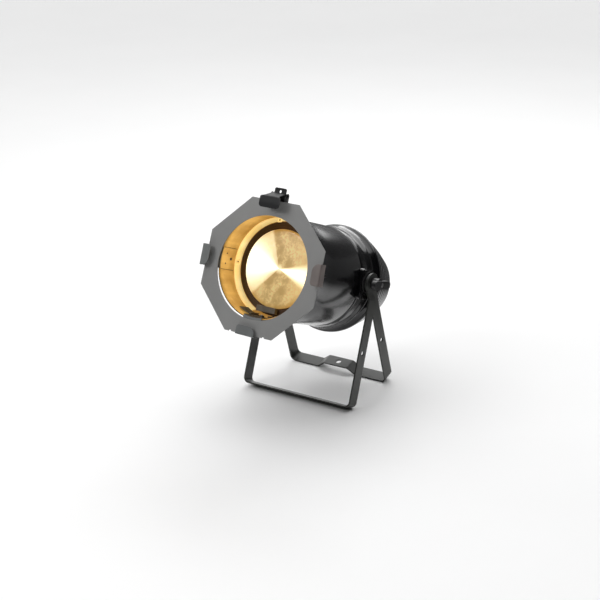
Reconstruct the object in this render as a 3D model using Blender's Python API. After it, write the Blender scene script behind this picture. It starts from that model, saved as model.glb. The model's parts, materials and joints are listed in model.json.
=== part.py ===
"""Stage can light with a zoom lens, an eight-sided colour frame and a double yoke that is also a floor stand.

Metres, +Z up.  The light points towards -Y and is tilted nose up.  The floor is z = 0 and the
bounding box is centred on x = y = 0.  Head pieces are drawn in the head's own frame, whose origin
is the yoke's pivot: x across, s forward along the beam, u up.
"""
import math

import bmesh
import bpy
from mathutils import Matrix, Vector

# ---- driving dimensions -------------------------------------------------------------------------
TILT = math.radians(23.1)          # nose-up angle of the beam
FRONT_LEAN = math.radians(22.0)    # front yoke, leaning forward from the vertical
REAR_LEAN = math.radians(16.3)     # rear yoke, leaning back

STRIP_WIDTH = 0.0257               # yoke strip
STRIP_THICK = 0.003
FRONT_WIDTH = 0.2458               # outside widths of the two yokes
REAR_WIDTH = 0.2249
FRONT_LEG = 0.2418                 # pivot to the outside of the base
BEND_RADIUS = 0.012

FRAME_FLATS = 0.250                # colour frame across its flats
FRAME_HOLE = 0.0966                # radius of its opening
FRAME_THICK = 0.0015
FRAME_FRONT = 0.2123               # s of the middle of its front face
FRAME_DROP = 0.0035                # it hangs this far below the barrel's axis, towards the bottom clip
FRAME_LEAN = math.radians(-1.5)    # and leans back at the top
NOTCH_X = (-0.0395, 0.0335)        # two half-round notches in its bottom edge
NOTCH_R = 0.0026

AXIS_DROP = 0.0062                 # the barrel's axis lies this far below the pivot
BARREL_R = 0.0975
BARREL_WALL = 0.0015
RIM_S = 0.2058                     # s of the barrel's front rim
GAP = 0.0003                       # clearance between touching pieces

SEGMENTS = 40                      # sides of the large round pieces
SMALL_SEGMENTS = 20                # sides of screws, pins and knobs

PIVOT_HEIGHT = FRONT_LEG * math.cos(FRONT_LEAN) + STRIP_WIDTH / 2 * math.sin(FRONT_LEAN)
REAR_LEG = (PIVOT_HEIGHT - STRIP_WIDTH / 2 * math.sin(REAR_LEAN)) / math.cos(REAR_LEAN)
PIVOT_Y = 0.0456                   # puts the box's middle at y = 0

# ---- shells: stations along the beam, and radii --------------------------------------------------
BARREL_BACK_S = -0.030
BARREL_INNER_R = BARREL_R - BARREL_WALL
MOUTH_FLARE = 0.0020               # the barrel's front edge opens out by this much
MOUTH_LENGTH = 0.0036
SLEEVE_R = 0.0935                  # inside of the joint ring's sleeve
RING_TOP_R = 0.1034                # its flared edge
SHOULDER_R = 0.0985
CAP_RIM_S = -0.0405
CAP_BACK_S = -0.1556
CAP_WALL = 0.002
CAP_OPENING = 0.060                # radius of the hole behind the control panel
CAP_R = 0.1063                     # the dome's radius at the rim, and how it falls towards the back
CAP_SLOPE = 0.2224
CAP_CURVE = 0.8805
CAP_RIBS = 6
CAP_RIB_START = -0.0560
CAP_RIB_LENGTH = 0.0150
CAP_RIB_DEPTH = 0.0012
CAP_CORNER = 0.0062

# ---- clips, their screws and the latch ----------------------------------------------------------
FLANGE_S = RIM_S + GAP             # back of the clips' flanges, in front of the rim
CLIP_THICK = 0.0012
CLIP_WIDTH = 0.040
CLIP_FRONT_S = 0.2230              # front face of the clips' tongues
CLIP_OUTER_R = 0.1306
TONGUE_LENGTH = 0.0182             # down from the outside of the clip
TONGUE_CORNERS = (0.014, 0.006)    # radii of its two corners
CLIP_TURNS = {"left": math.radians(-90), "right": math.radians(88.1), "bottom": math.radians(181.3)}
PATCH_BACK_S = 0.164               # rear end of the strips screwed inside the wall
PATCH_LIFT = 0.0006                # their clearance from the wall
CLIP_SCREW_S = 0.1975
RING_SCREW_S = 0.152
RING_SCREW_TURNS = {"left": math.radians(-91.5), "right": math.radians(87.5), "top": math.radians(-11)}
SCREW_SHANK_R = 0.0019
SCREW_HOLE_R = 0.0023
SCREW_HEAD_R = 0.0038
SCREW_HEAD_HEIGHT = 0.0022

PIN_S = 0.1990
PIN_R = 0.1332                     # distance of the latch's pin from the barrel's axis
PIN_RADIUS = 0.0014
PIN_BORE_R = 0.0018
PIN_HALF = 0.0197
BRACKET_HALF = 0.018               # half width of the latch's bracket
BRACKET_TOP_R = 0.1318
EAR_X = (0.0163, 0.0177)
EAR_R = 0.0045
TANG_HALF = 0.0127
TANG_TOP = 0.0129
TANG_HOLE_U = 0.0065
TANG_HOLE_R = 0.0026
KNUCKLE_X = (0.0045, 0.0155)
KNUCKLE_R = 0.0030
FLAP_HALF = 0.0150
TAB_HALF = 0.0221
TAB_REACH = 0.0300                 # the tab stands this far in front of the pin
TAB_DROP = 0.0072                  # and its bend lies this far below it
TAB_FOOT = -0.0274

# ---- optics and what lies behind them -----------------------------------------------------------
LENS_FRONT_S = 0.1522
LENS_R = 0.0744
LENS_EDGE = 0.004
CARRIER_R = 0.0885
CARRIER_BORE = 0.0660
CARRIER_LENGTH = 0.014
ZOOM_TRAVEL = 0.050
ZOOM_SCREW_S = LENS_FRONT_S - 0.0120
ZOOM_SLOT_HALF = 0.0033
BLOCK_X = (-0.030, 0.012)
BLOCK_U = (-0.0841, -0.0755, -0.0731)
BLOCK_FRONT_S = 0.158
RING_GAP = math.radians(24)        # half of the retaining ring's opening at the bottom
LED_S = 0.0695                     # front of the light source's board
FAN_S = -0.008                     # front face of the fan
FAN_DEPTH = 0.020
FAN_R = 0.042
FAN_BLADES = 7

# ---- rear control panel -------------------------------------------------------------------------
PANEL_S = CAP_BACK_S - GAP         # front face of the panel, against the cap's flat back
PANEL_THICK = 0.002
PANEL_R = 0.0640
BUTTON_X = (-0.0225, -0.0075, 0.0075, 0.0225)
BUTTON_NAMES = ("menu", "down", "up", "enter")
BUTTON_U = 0.0110
BUTTON_HOLE_R = 0.0043
WINDOW_HALF_X = 0.0265
WINDOW_U = (0.0245, 0.0445)
SOCKET_DEPTH = 0.020
SOCKET_WALL = 0.0020
SOCKETS = {"power_inlet": (0.0, -0.0330, 0.0135, 0.0095),
           "data_in_socket": (-0.0360, -0.0120, 0.0105, 0.0105),
           "data_out_socket": (0.0360, -0.0120, 0.0105, 0.0105)}

# ---- pivot stack, outwards from the barrel ------------------------------------------------------
BRACKET_OUT_X = 0.1037
BRACKET_CENTRE = (0.004, -0.0048)  # s and u of the side bracket's middle
BRACKET_HALVES = (0.0180, 0.0293)
BRACKET_SCREWS = {"upper": (0.0156, 0.0199), "lower": (0.0060, -0.0296)}
BRACKET_SCREW_R = 0.0036
DISC_OUT_X = 0.1065
DISC_R = 0.0205
SPACER_OUT_X = REAR_WIDTH / 2 - STRIP_THICK - GAP
SPACER_R = 0.0150
FRONT_EAR_OUT_X = 0.1158
FRONT_EAR_R = 0.0200
REAR_EAR_R = 0.0180
KNOB_IN_X = FRONT_EAR_OUT_X + GAP
KNOB_HUB_R = 0.0115
WING_IN_X = 0.129
WING_OUT_X = 0.138
WING_HALVES = (0.0290, 0.0080)
WING_TURN = math.radians(-18)
STUD_R = 0.004
STUD_CLEARANCE = 0.0004
EAR_INSET = 0.00004                # the round ears are this much thinner than the strip, on each face
SIDES = {"right": 1, "left": -1}

# ---- yokes' holes and bends ---------------------------------------------------------------------
JOGGLE_Z = (-0.0205, -0.0305)      # the front yoke's legs step outwards here
JOGGLE_BEND = 0.004
FRONT_HOLE_Z = -0.134
REAR_HOLE_Z = -0.136
LEG_HOLE_R = 0.0045
HANGER_X = -0.003                  # middle of the raised hanging plate
HANGER_RISE = 0.012
HANGER_HALVES = (0.0270, 0.0430)   # its flat, and the foot of its two slopes
HANGER_BEND = 0.006
HANGER_HOLE_R = 0.0055

PALETTE = {
    "frame_paint": ((0.25, 0.25, 0.25), 0.45, 0.3),
    "body_paint": ((0.012, 0.012, 0.013), 0.35, 0.2),
    "yoke_paint": ((0.055, 0.057, 0.052), 0.45, 0.3),
    "clip_paint": ((0.05, 0.052, 0.054), 0.45, 0.2),
    "gold": ((0.75, 0.45, 0.13), 0.35, 0.6),
    "lens_glass": ((0.85, 0.70, 0.42), 0.30, 0.1),
    "inner_black": ((0.03, 0.018, 0.012), 0.6, 0.0),
    "black_plastic": ((0.015, 0.015, 0.015), 0.45, 0.0),
    "zinc": ((0.55, 0.55, 0.55), 0.35, 0.9),
    "aluminium": ((0.70, 0.70, 0.70), 0.40, 0.9),
    "circuit": ((0.85, 0.85, 0.82), 0.5, 0.0),
    "phosphor": ((0.90, 0.75, 0.15), 0.5, 0.0),
    "display": ((0.02, 0.03, 0.03), 0.1, 0.0),
    "rubber": ((0.02, 0.02, 0.02), 0.8, 0.0),
}


# ---- scene and helpers --------------------------------------------------------------------------
def clear_scene():
    for old in list(bpy.data.objects):
        bpy.data.objects.remove(old, do_unlink=True)


def material(slot):
    found = bpy.data.materials.get(slot)
    if found:
        return found
    colour, roughness, metallic = PALETTE[slot]
    made = bpy.data.materials.new(slot)
    made.use_nodes = True
    shader = made.node_tree.nodes["Principled BSDF"]
    shader.inputs["Base Color"].default_value = (*colour, 1.0)
    shader.inputs["Roughness"].default_value = roughness
    shader.inputs["Metallic"].default_value = metallic
    made.diffuse_color = (*colour, 1.0)
    return made


def empty(name, location=(0, 0, 0), rotation=(0, 0, 0), parent=None):
    made = bpy.data.objects.new(name, None)
    made.location = location
    made.rotation_euler = rotation
    made.parent = parent
    bpy.context.scene.collection.objects.link(made)
    return made


def solid(name, bm, slot=None, parent=None, location=(0, 0, 0), rotation=(0, 0, 0), smooth=False):
    """Make an object from bm.  Without a slot it is a hidden cutter or filler."""
    bmesh.ops.recalc_face_normals(bm, faces=bm.faces)
    mesh = bpy.data.meshes.new(name)
    bm.to_mesh(mesh)
    bm.free()
    if smooth:
        mesh.shade_smooth()
        mesh.set_sharp_from_angle(angle=math.radians(35))
    made = bpy.data.objects.new(name, mesh)
    made.location = location
    made.rotation_euler = rotation
    made.parent = parent
    bpy.context.scene.collection.objects.link(made)
    if slot:
        mesh.materials.append(material(slot))
    else:
        made.hide_render = True
        made.display_type = "WIRE"
    return made


def combine(target, other, operation="DIFFERENCE"):
    step = target.modifiers.new(other.name, "BOOLEAN")
    step.operation = operation
    step.solver = "EXACT"
    step.object = other


def local(x, s, u):
    """A point of the head's frame, where the beam runs along -Y."""
    return Vector((x, -s, u))


def turned(profile, segments=SEGMENTS):
    """Turn a closed (s, r) outline about the beam's direction.  Points with r = 0 are poles."""
    bm = bmesh.new()
    rings = []
    for s, r in profile:
        if r == 0:
            rings.append([bm.verts.new((0, -s, 0))] * segments)
            continue
        ring = []
        for k in range(segments):
            angle = 2 * math.pi * k / segments
            ring.append(bm.verts.new((r * math.sin(angle), -s, r * math.cos(angle))))
        rings.append(ring)
    for first, second in zip(rings, rings[1:] + rings[:1]):
        for k in range(segments):
            after = (k + 1) % segments
            corners = []
            for vert in (first[k], first[after], second[after], second[k]):
                if vert not in corners:
                    corners.append(vert)
            if len(corners) > 2:
                bm.faces.new(corners)
    return bm


def turned_arc(profile, start, end, steps):
    """Turn a closed (s, r) outline through part of a circle, with flat ends."""
    bm = bmesh.new()
    rings = []
    for k in range(steps + 1):
        angle = start + (end - start) * k / steps
        rings.append([bm.verts.new((r * math.sin(angle), -s, r * math.cos(angle))) for s, r in profile])
    count = len(profile)
    for first, second in zip(rings, rings[1:]):
        for k in range(count):
            after = (k + 1) % count
            bm.faces.new((first[k], first[after], second[after], second[k]))
    bm.faces.new(rings[0])
    bm.faces.new(rings[-1])
    return bm


def extruded(outline, depth, to_point):
    """Extrude a closed 2-D outline by depth; to_point(a, b, c) places each corner."""
    bm = bmesh.new()
    near = [bm.verts.new(to_point(a, b, 0)) for a, b in outline]
    far = [bm.verts.new(to_point(a, b, depth)) for a, b in outline]
    bm.faces.new(near)
    bm.faces.new(far)
    for k in range(len(outline)):
        after = (k + 1) % len(outline)
        bm.faces.new((near[k], near[after], far[after], far[k]))
    return bm


def box(low, high):
    """A box between two corners given in plain x, y, z."""
    bm = bmesh.new()
    bmesh.ops.create_cube(bm, size=1)
    for vert in bm.verts:
        for k in range(3):
            vert.co[k] = low[k] if vert.co[k] < 0 else high[k]
    return bm


def head_box(x_range, s_range, u_range):
    return box((x_range[0], -s_range[1], u_range[0]), (x_range[1], -s_range[0], u_range[1]))


def rod(start, end, radius, segments=SMALL_SEGMENTS):
    """A closed cylinder between two points."""
    start = Vector(start)
    end = Vector(end)
    span = end - start
    bm = bmesh.new()
    bmesh.ops.create_cone(bm, cap_ends=True, segments=segments, radius1=radius, radius2=radius,
                          depth=span.length)
    turn = Vector((0, 0, 1)).rotation_difference(span.normalized()).to_matrix().to_4x4()
    bmesh.ops.transform(bm, matrix=Matrix.Translation((start + end) / 2) @ turn, verts=bm.verts)
    return bm


def rounded_rectangle(half_a, half_b, radius, steps=5, centre=(0, 0)):
    points = []
    for quarter, (side_a, side_b) in enumerate(((1, 1), (-1, 1), (-1, -1), (1, -1))):
        for k in range(steps + 1):
            angle = math.pi / 2 * (quarter + k / steps)
            points.append((centre[0] + side_a * (half_a - radius) + radius * math.cos(angle),
                           centre[1] + side_b * (half_b - radius) + radius * math.sin(angle)))
    return points


def sheet(rows, columns=7):
    """A bent sheet as a grid.  Each row is (s, reach, left, right, bow): a curved row follows the
    barrel's wall at radius bow, and a flat one stands at the distance reach from its axis."""
    bm = bmesh.new()
    grid = []
    for s, reach, left, right, bow in rows:
        line = []
        for k in range(columns):
            across = left + (right - left) * k / (columns - 1)
            height = math.sqrt(bow * bow - across * across) if bow else reach
            line.append(bm.verts.new((across, -s, height)))
        grid.append(line)
    for first, second in zip(grid, grid[1:]):
        for k in range(columns - 1):
            bm.faces.new((first[k], first[k + 1], second[k + 1], second[k]))
    return bm


def even_row(s, reach, half, bow=0):
    return (s, reach, -half, half, bow)


def thicken(target, thickness, offset=0.0):
    step = target.modifiers.new("thickness", "SOLIDIFY")
    step.thickness = thickness
    step.offset = offset
    step.use_even_offset = True


# ---- the head's shells --------------------------------------------------------------------------
def make_barrel(axis):
    profile = [
        (RIM_S - MOUTH_LENGTH, BARREL_INNER_R), (RIM_S, BARREL_INNER_R + MOUTH_FLARE),
        (RIM_S, BARREL_R + MOUTH_FLARE), (RIM_S - MOUTH_LENGTH, BARREL_R),
        (0.0165, BARREL_R), (0.0150, 0.0965), (0.0115, 0.0965),
        (0.0100, BARREL_R), (-0.0100, 0.0977), (-0.0180, 0.0985), (-0.0225, 0.0998),
        (-0.0260, 0.1003), (-0.0290, 0.0998), (BARREL_BACK_S, SHOULDER_R), (BARREL_BACK_S, BARREL_INNER_R),
    ]
    barrel = solid("barrel", turned(profile), "body_paint", axis, smooth=True)
    slot_s = (ZOOM_SCREW_S - ZOOM_TRAVEL - ZOOM_SLOT_HALF, ZOOM_SCREW_S + ZOOM_SLOT_HALF)
    cutter = head_box((-ZOOM_SLOT_HALF, ZOOM_SLOT_HALF), slot_s, (-BARREL_R - 0.005, -BARREL_INNER_R + 0.005))
    combine(barrel, solid("barrel_slot_cutter", cutter, parent=axis))


def make_joint_ring(axis):
    """A sleeve inside the barrel's end, whose flared edge meets the cap's rim."""
    step_s = BARREL_BACK_S - GAP
    edge_s = CAP_RIM_S + GAP
    tail_s = -0.052
    front_s = -0.008
    profile = [
        (front_s, BARREL_INNER_R - GAP), (step_s, BARREL_INNER_R - GAP), (step_s, SHOULDER_R),
        (-0.0345, 0.0988), (-0.0380, 0.1008), (edge_s, RING_TOP_R), (edge_s, SHOULDER_R),
        (tail_s, SHOULDER_R), (tail_s, SLEEVE_R), (front_s, SLEEVE_R),
    ]
    solid("joint_ring", turned(profile), "body_paint", axis, smooth=True)


def dome_radius(s):
    """The cap tapers towards its back."""
    behind = CAP_RIM_S - s
    return CAP_R - CAP_SLOPE * behind - CAP_CURVE * behind * behind


def cap_outline():
    """Outer (s, r) points of the rear cap: a rolled rim, then shallow ribs round a dome."""
    points = [(CAP_RIM_S, 0.1036), (-0.0420, 0.1052), (-0.0460, 0.1058), (-0.0500, 0.1046)]
    for k in range(CAP_RIBS):
        for share, depth in ((0.0, CAP_RIB_DEPTH), (0.2, 0.0), (0.9, 0.0)):
            s = CAP_RIB_START - CAP_RIB_LENGTH * (k + share)
            points.append((s, dome_radius(s) - depth))
    corner_r = dome_radius(CAP_BACK_S + CAP_CORNER)
    points.append((CAP_BACK_S + CAP_CORNER, corner_r))
    points.append((CAP_BACK_S + CAP_CORNER * 0.3, corner_r - CAP_CORNER * 0.3))
    points.append((CAP_BACK_S, corner_r - CAP_CORNER))
    return points


def make_rear_cap(axis):
    inner_s = CAP_BACK_S + CAP_WALL
    corner_s = CAP_BACK_S + CAP_CORNER + 0.002
    offset = CAP_WALL + CAP_RIB_DEPTH
    inner = [(inner_s, CAP_OPENING), (inner_s, dome_radius(corner_s) - CAP_CORNER)]
    for s in (corner_s, -0.125, -0.100, -0.080, -0.060):
        inner.append((s, dome_radius(s) - offset))
    inner.append((CAP_RIM_S, 0.1010))
    profile = cap_outline() + [(CAP_BACK_S, CAP_OPENING)] + inner
    solid("rear_cap", turned(profile), "body_paint", axis, smooth=True)


# ---- colour frame, its clips and the latch ------------------------------------------------------
def make_gel_frame(seat):
    """The flat plate, drawn in the frame of its own front face."""
    corner_r = FRAME_FLATS / 2 / math.cos(math.pi / 8)
    corners = []
    for k in range(8):
        angle = math.pi / 4 * (k + 0.5)
        corners.append((corner_r * math.sin(angle), corner_r * math.cos(angle)))
    plate = solid("gel_frame", extruded(corners, FRAME_THICK, lambda a, b, c: local(a, -c, b)),
                  "frame_paint", seat)
    hole = rod(local(0, -0.01, 0), local(0, 0.01, 0), FRAME_HOLE, 64)
    combine(plate, solid("frame_hole_cutter", hole, parent=seat))
    foot = -FRAME_FLATS / 2
    for x in NOTCH_X:
        notch = rod(local(x, -0.01, foot), local(x, 0.01, foot), NOTCH_R, 10)
        combine(plate, solid(f"frame_notch_cutter_{x:.4f}", notch, parent=seat))


def patch_rows(half):
    """The curved part of a clip: a strip against the wall, then out over the rim."""
    bow = BARREL_INNER_R - PATCH_LIFT - CLIP_THICK / 2
    middle_s = FLANGE_S + CLIP_THICK / 2
    return [even_row(s, 0, half, bow) for s in (PATCH_BACK_S, 0.185, middle_s)]


def tongue_rows(front_s, wall_r, half, steps=4):
    """A clip's tongue hangs down in front of the frame, with one corner rounder than the other."""
    end_r = wall_r - TONGUE_LENGTH
    rows = [even_row(front_s, wall_r, half), even_row(front_s, end_r + TONGUE_CORNERS[0], half)]
    for k in range(1, steps + 1):
        turn = math.pi / 2 * k / steps
        reach = end_r + TONGUE_CORNERS[0] * (1 - math.sin(turn))
        edges = []
        for radius in TONGUE_CORNERS:
            rise = min(radius, reach - end_r)
            edges.append(half - radius + math.sqrt(radius * radius - (radius - rise) ** 2))
        rows.append((front_s, reach, -edges[0], edges[1], 0))
    return rows


def make_clips(axis):
    middle_s = FLANGE_S + CLIP_THICK / 2
    wall_r = CLIP_OUTER_R - CLIP_THICK / 2
    half = CLIP_WIDTH / 2
    rows = patch_rows(half) + [even_row(middle_s, 0.108, half), even_row(middle_s, wall_r, half)]
    rows += tongue_rows(CLIP_FRONT_S - CLIP_THICK / 2, wall_r, half)
    for name, turn in CLIP_TURNS.items():
        clip = solid(f"clip_{name}", sheet(rows), "clip_paint", axis, rotation=(0, turn, 0))
        thicken(clip, CLIP_THICK)
        combine(clip, radial_cutter(f"clip_hole_cutter_{name}", axis, turn, CLIP_SCREW_S, SCREW_HOLE_R))


def radial_cutter(name, axis, turn, s, radius):
    """A hidden rod through the barrel's wall at the angle turn."""
    hole = rod((0, -s, 0.08), (0, -s, 0.11), radius, 12)
    return solid(name, hole, parent=axis, rotation=(0, turn, 0))


def make_wall_screw(axis, name, turn, s, inner_r):
    """A screw through the barrel's wall, with its head outside."""
    head_r = BARREL_R + GAP
    tip_r = head_r + SCREW_HEAD_HEIGHT
    profile = [(inner_r, 0), (inner_r, SCREW_SHANK_R), (head_r, SCREW_SHANK_R), (head_r, SCREW_HEAD_R),
               (head_r + 0.0014, SCREW_HEAD_R - 0.0004), (tip_r, SCREW_HEAD_R - 0.0016), (tip_r, 0)]
    screw = turned(profile, 14)
    bmesh.ops.rotate(screw, cent=(0, 0, 0), matrix=Matrix.Rotation(-math.pi / 2, 3, "X"), verts=screw.verts)
    bmesh.ops.translate(screw, vec=(0, -s, 0), verts=screw.verts)
    solid(name, screw, "zinc", axis, rotation=(0, turn, 0), smooth=True)
    barrel = bpy.data.objects["barrel"]
    combine(barrel, radial_cutter(f"{name}_wall_cutter", axis, turn, s, SCREW_HOLE_R))


def make_wall_screws(axis):
    """Four for the clips and the latch, and three for the lens's retaining ring."""
    for name, turn in {**CLIP_TURNS, "top": 0}.items():
        make_wall_screw(axis, f"clip_screw_{name}", turn, CLIP_SCREW_S, 0.0910)
    for name, turn in RING_SCREW_TURNS.items():
        make_wall_screw(axis, f"ring_screw_{name}", turn, RING_SCREW_S, 0.0900)


def catch_rows():
    """The catch from the side: an upright tang, a flap forward over the frame, and a hanging tab."""
    rows = [even_row(0, TANG_TOP, TANG_HALF - 0.0025), even_row(0, TANG_TOP - 0.0012, TANG_HALF - 0.0006),
            even_row(0, TANG_TOP - 0.0030, TANG_HALF), even_row(0, 0.0040, TANG_HALF),
            even_row(0.0012, 0.0031, FLAP_HALF)]
    rows += [even_row(TAB_REACH - 0.006, 0.0030 - TAB_DROP, FLAP_HALF),
             even_row(TAB_REACH - 0.0015, 0.0005 - TAB_DROP, TAB_HALF - 0.0007),
             even_row(TAB_REACH, -0.0020 - TAB_DROP, TAB_HALF)]
    for rise, tuck in ((0.0065, 0), (0.0030, 0.0009), (0.0010, 0.0030), (0, 0.0062)):
        rows.append(even_row(TAB_REACH, TAB_FOOT + rise, TAB_HALF - tuck))
    return rows


def make_latch(axis, pin):
    """A fixed bracket with two ears, and a catch that turns on the pin between them."""
    middle_s = FLANGE_S + CLIP_THICK / 2
    rows = patch_rows(BRACKET_HALF)
    rows += [even_row(middle_s, 0.108, BRACKET_HALF), even_row(middle_s, BRACKET_TOP_R, BRACKET_HALF)]
    bracket = solid("latch_bracket", sheet(rows), "clip_paint", axis)
    thicken(bracket, CLIP_THICK)
    combine(bracket, radial_cutter("latch_wall_hole_cutter", axis, 0, CLIP_SCREW_S, SCREW_HOLE_R))
    front_s = middle_s + 0.0002
    foot_r = 0.121
    for name, side in SIDES.items():
        ear = [(PIN_S - EAR_R, foot_r), (PIN_S - EAR_R, PIN_R)]
        for k in range(1, 7):
            turn = math.pi * k / 7
            ear.append((PIN_S - EAR_R * math.cos(turn), PIN_R + EAR_R * math.sin(turn)))
        ear += [(PIN_S + EAR_R, PIN_R), (front_s, BRACKET_TOP_R - 0.001), (front_s, foot_r)]
        low_x = min(side * EAR_X[0], side * EAR_X[1])
        depth = EAR_X[1] - EAR_X[0]
        blank = extruded(ear, depth, lambda a, b, c, start=low_x: local(start + c, a, b))
        combine(bracket, solid(f"latch_ear_{name}_blank", blank, parent=axis), "UNION")
    pin_hole = rod(local(-0.03, PIN_S, PIN_R), local(0.03, PIN_S, PIN_R), PIN_BORE_R, 16)
    combine(bracket, solid("latch_pin_hole_cutter", pin_hole, parent=axis))

    solid("latch_pin", rod((-PIN_HALF, 0, 0), (PIN_HALF, 0, 0), PIN_RADIUS, 12), "zinc", pin, smooth=True)

    catch = solid("latch_catch", sheet(catch_rows(), 5), "clip_paint", pin)
    thicken(catch, CLIP_THICK)
    tang_hole = rod((0, 0.01, TANG_HOLE_U), (0, -0.01, TANG_HOLE_U), TANG_HOLE_R, 16)
    combine(catch, solid("tang_hole_cutter", tang_hole, parent=pin))
    for name, side in SIDES.items():
        knuckle = rod((side * KNUCKLE_X[0], 0, 0), (side * KNUCKLE_X[1], 0, 0), KNUCKLE_R, 16)
        combine(catch, solid(f"knuckle_{name}_blank", knuckle, parent=pin), "UNION")
    bore = rod((-0.03, 0, 0), (0.03, 0, 0), PIN_BORE_R, 16)
    combine(catch, solid("knuckle_bore_cutter", bore, parent=pin))


def make_latch_spring(pin):
    """A short torsion spring wound round the pin, between the catch's knuckles."""
    coil_r = 0.0020
    wire_r = 0.0004
    turns = 4
    per_turn = 9
    length = 0.0070
    sides = 5
    bm = bmesh.new()
    rings = []
    total = turns * per_turn
    for k in range(total + 1):
        angle = 2 * math.pi * k / per_turn
        centre_x = length * (k / total - 0.5)
        ring = []
        for j in range(sides):
            around = 2 * math.pi * j / sides
            radius = coil_r + wire_r * math.cos(around)
            ring.append(bm.verts.new((centre_x + wire_r * math.sin(around), radius * math.cos(angle),
                                      radius * math.sin(angle))))
        rings.append(ring)
    for first, second in zip(rings, rings[1:]):
        for j in range(sides):
            after = (j + 1) % sides
            bm.faces.new((first[j], first[after], second[after], second[j]))
    bm.faces.new(rings[0])
    bm.faces.new(rings[-1])
    solid("latch_spring", bm, "zinc", pin, smooth=True)


# ---- optics and the light source ----------------------------------------------------------------
def make_retaining_ring(axis):
    """A sloping ring inside the wall, open at the bottom where the zoom block runs."""
    wall = BARREL_INNER_R - 0.0004
    profile = [(0.1600, wall), (0.1590, wall), (0.1465, 0.0906), (0.1472, 0.0896), (0.1600, wall - 0.0012)]
    band = turned_arc(profile, RING_GAP - math.pi, math.pi - RING_GAP, 44)
    ring = solid("retaining_ring", band, "gold", axis, smooth=True)
    for name, turn in RING_SCREW_TURNS.items():
        boss = rod((0, -RING_SCREW_S, 0.0922), (0, -RING_SCREW_S, wall), 0.0042, 16)
        combine(ring, solid(f"ring_boss_{name}_blank", boss, parent=axis, rotation=(0, turn, 0)), "UNION")
        combine(ring, radial_cutter(f"ring_hole_cutter_{name}", axis, turn, RING_SCREW_S, SCREW_HOLE_R))


def make_lens(zoom):
    back = LENS_FRONT_S - LENS_EDGE
    profile = [(LENS_FRONT_S + 0.0016, 0), (LENS_FRONT_S + 0.0014, 0.025), (LENS_FRONT_S + 0.0008, 0.050),
               (LENS_FRONT_S, 0.0700), (LENS_FRONT_S - 0.0010, LENS_R), (back, LENS_R), (back, 0)]
    solid("lens", turned(profile), "lens_glass", zoom, smooth=True)


def make_lens_carrier(zoom):
    front = LENS_FRONT_S - LENS_EDGE - GAP
    tail = front - CARRIER_LENGTH
    profile = [(front, CARRIER_BORE), (front, CARRIER_R), (tail, CARRIER_R), (tail, CARRIER_R - 0.002),
               (front - 0.002, CARRIER_R - 0.002), (front - 0.002, CARRIER_BORE)]
    solid("lens_carrier", turned(profile), "inner_black", zoom, smooth=True)
    low, step, high = BLOCK_U
    lens_s = LENS_FRONT_S + 0.0004
    outline = [(front + GAP, low), (BLOCK_FRONT_S, low), (BLOCK_FRONT_S, high), (lens_s, high),
               (lens_s, step), (front + GAP, step)]
    block = extruded(outline, BLOCK_X[1] - BLOCK_X[0], lambda a, b, c: local(BLOCK_X[0] + c, a, b))
    solid("zoom_block", block, "inner_black", zoom)


def make_zoom_screw(knob):
    """A knurled thumb screw under the barrel, in the frame of its own axis: +Z runs up to the lens."""
    top = -CARRIER_R - GAP
    radius = 0.0070
    knurls = 16
    outline = []
    for k in range(knurls * 2):
        angle = math.pi * k / knurls
        r = radius if k % 2 else radius - 0.0008
        outline.append((r * math.cos(angle), r * math.sin(angle)))
    low = -0.1230
    head = solid("zoom_screw", extruded(outline, 0.012, lambda a, b, c: Vector((a, b, low + c))),
                 "black_plastic", knob)
    shank = rod((0, 0, low + 0.006), (0, 0, top), 0.0024, 12)
    combine(head, solid("zoom_shank_blank", shank, parent=knob), "UNION")


def make_light_source(axis):
    board = [(LED_S, 0), (LED_S, 0.0380), (LED_S - 0.0020, 0.0380), (LED_S - 0.0020, 0)]
    solid("led_board", turned(board, 24), "circuit", axis)
    chip = [(LED_S + 0.0022, 0), (LED_S + 0.0022, 0.0150), (LED_S + GAP, 0.0160), (LED_S + GAP, 0)]
    solid("led_chip", turned(chip, 24), "phosphor", axis, smooth=True)
    plate_front = LED_S - 0.0020 - GAP
    plate = [(plate_front, 0), (plate_front, 0.0950), (plate_front - 0.003, 0.0950), (plate_front - 0.003, 0)]
    solid("chassis_plate", turned(plate), "aluminium", axis)
    fins = 16
    points = []
    half_fin = 0.0012
    for k in range(fins):
        angle = 2 * math.pi * k / fins
        across = Vector((math.cos(angle), -math.sin(angle)))
        along = Vector((math.sin(angle), math.cos(angle)))
        for side, r in ((-1, 0.022), (-1, 0.070), (1, 0.070), (1, 0.022)):
            spot = along * r + across * side * half_fin
            points.append((spot.x, spot.y))
    back = plate_front - 0.003 - GAP
    solid("heat_sink", extruded(points, 0.055, lambda a, b, c: local(a, back - c, b)), "aluminium", axis)


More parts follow.
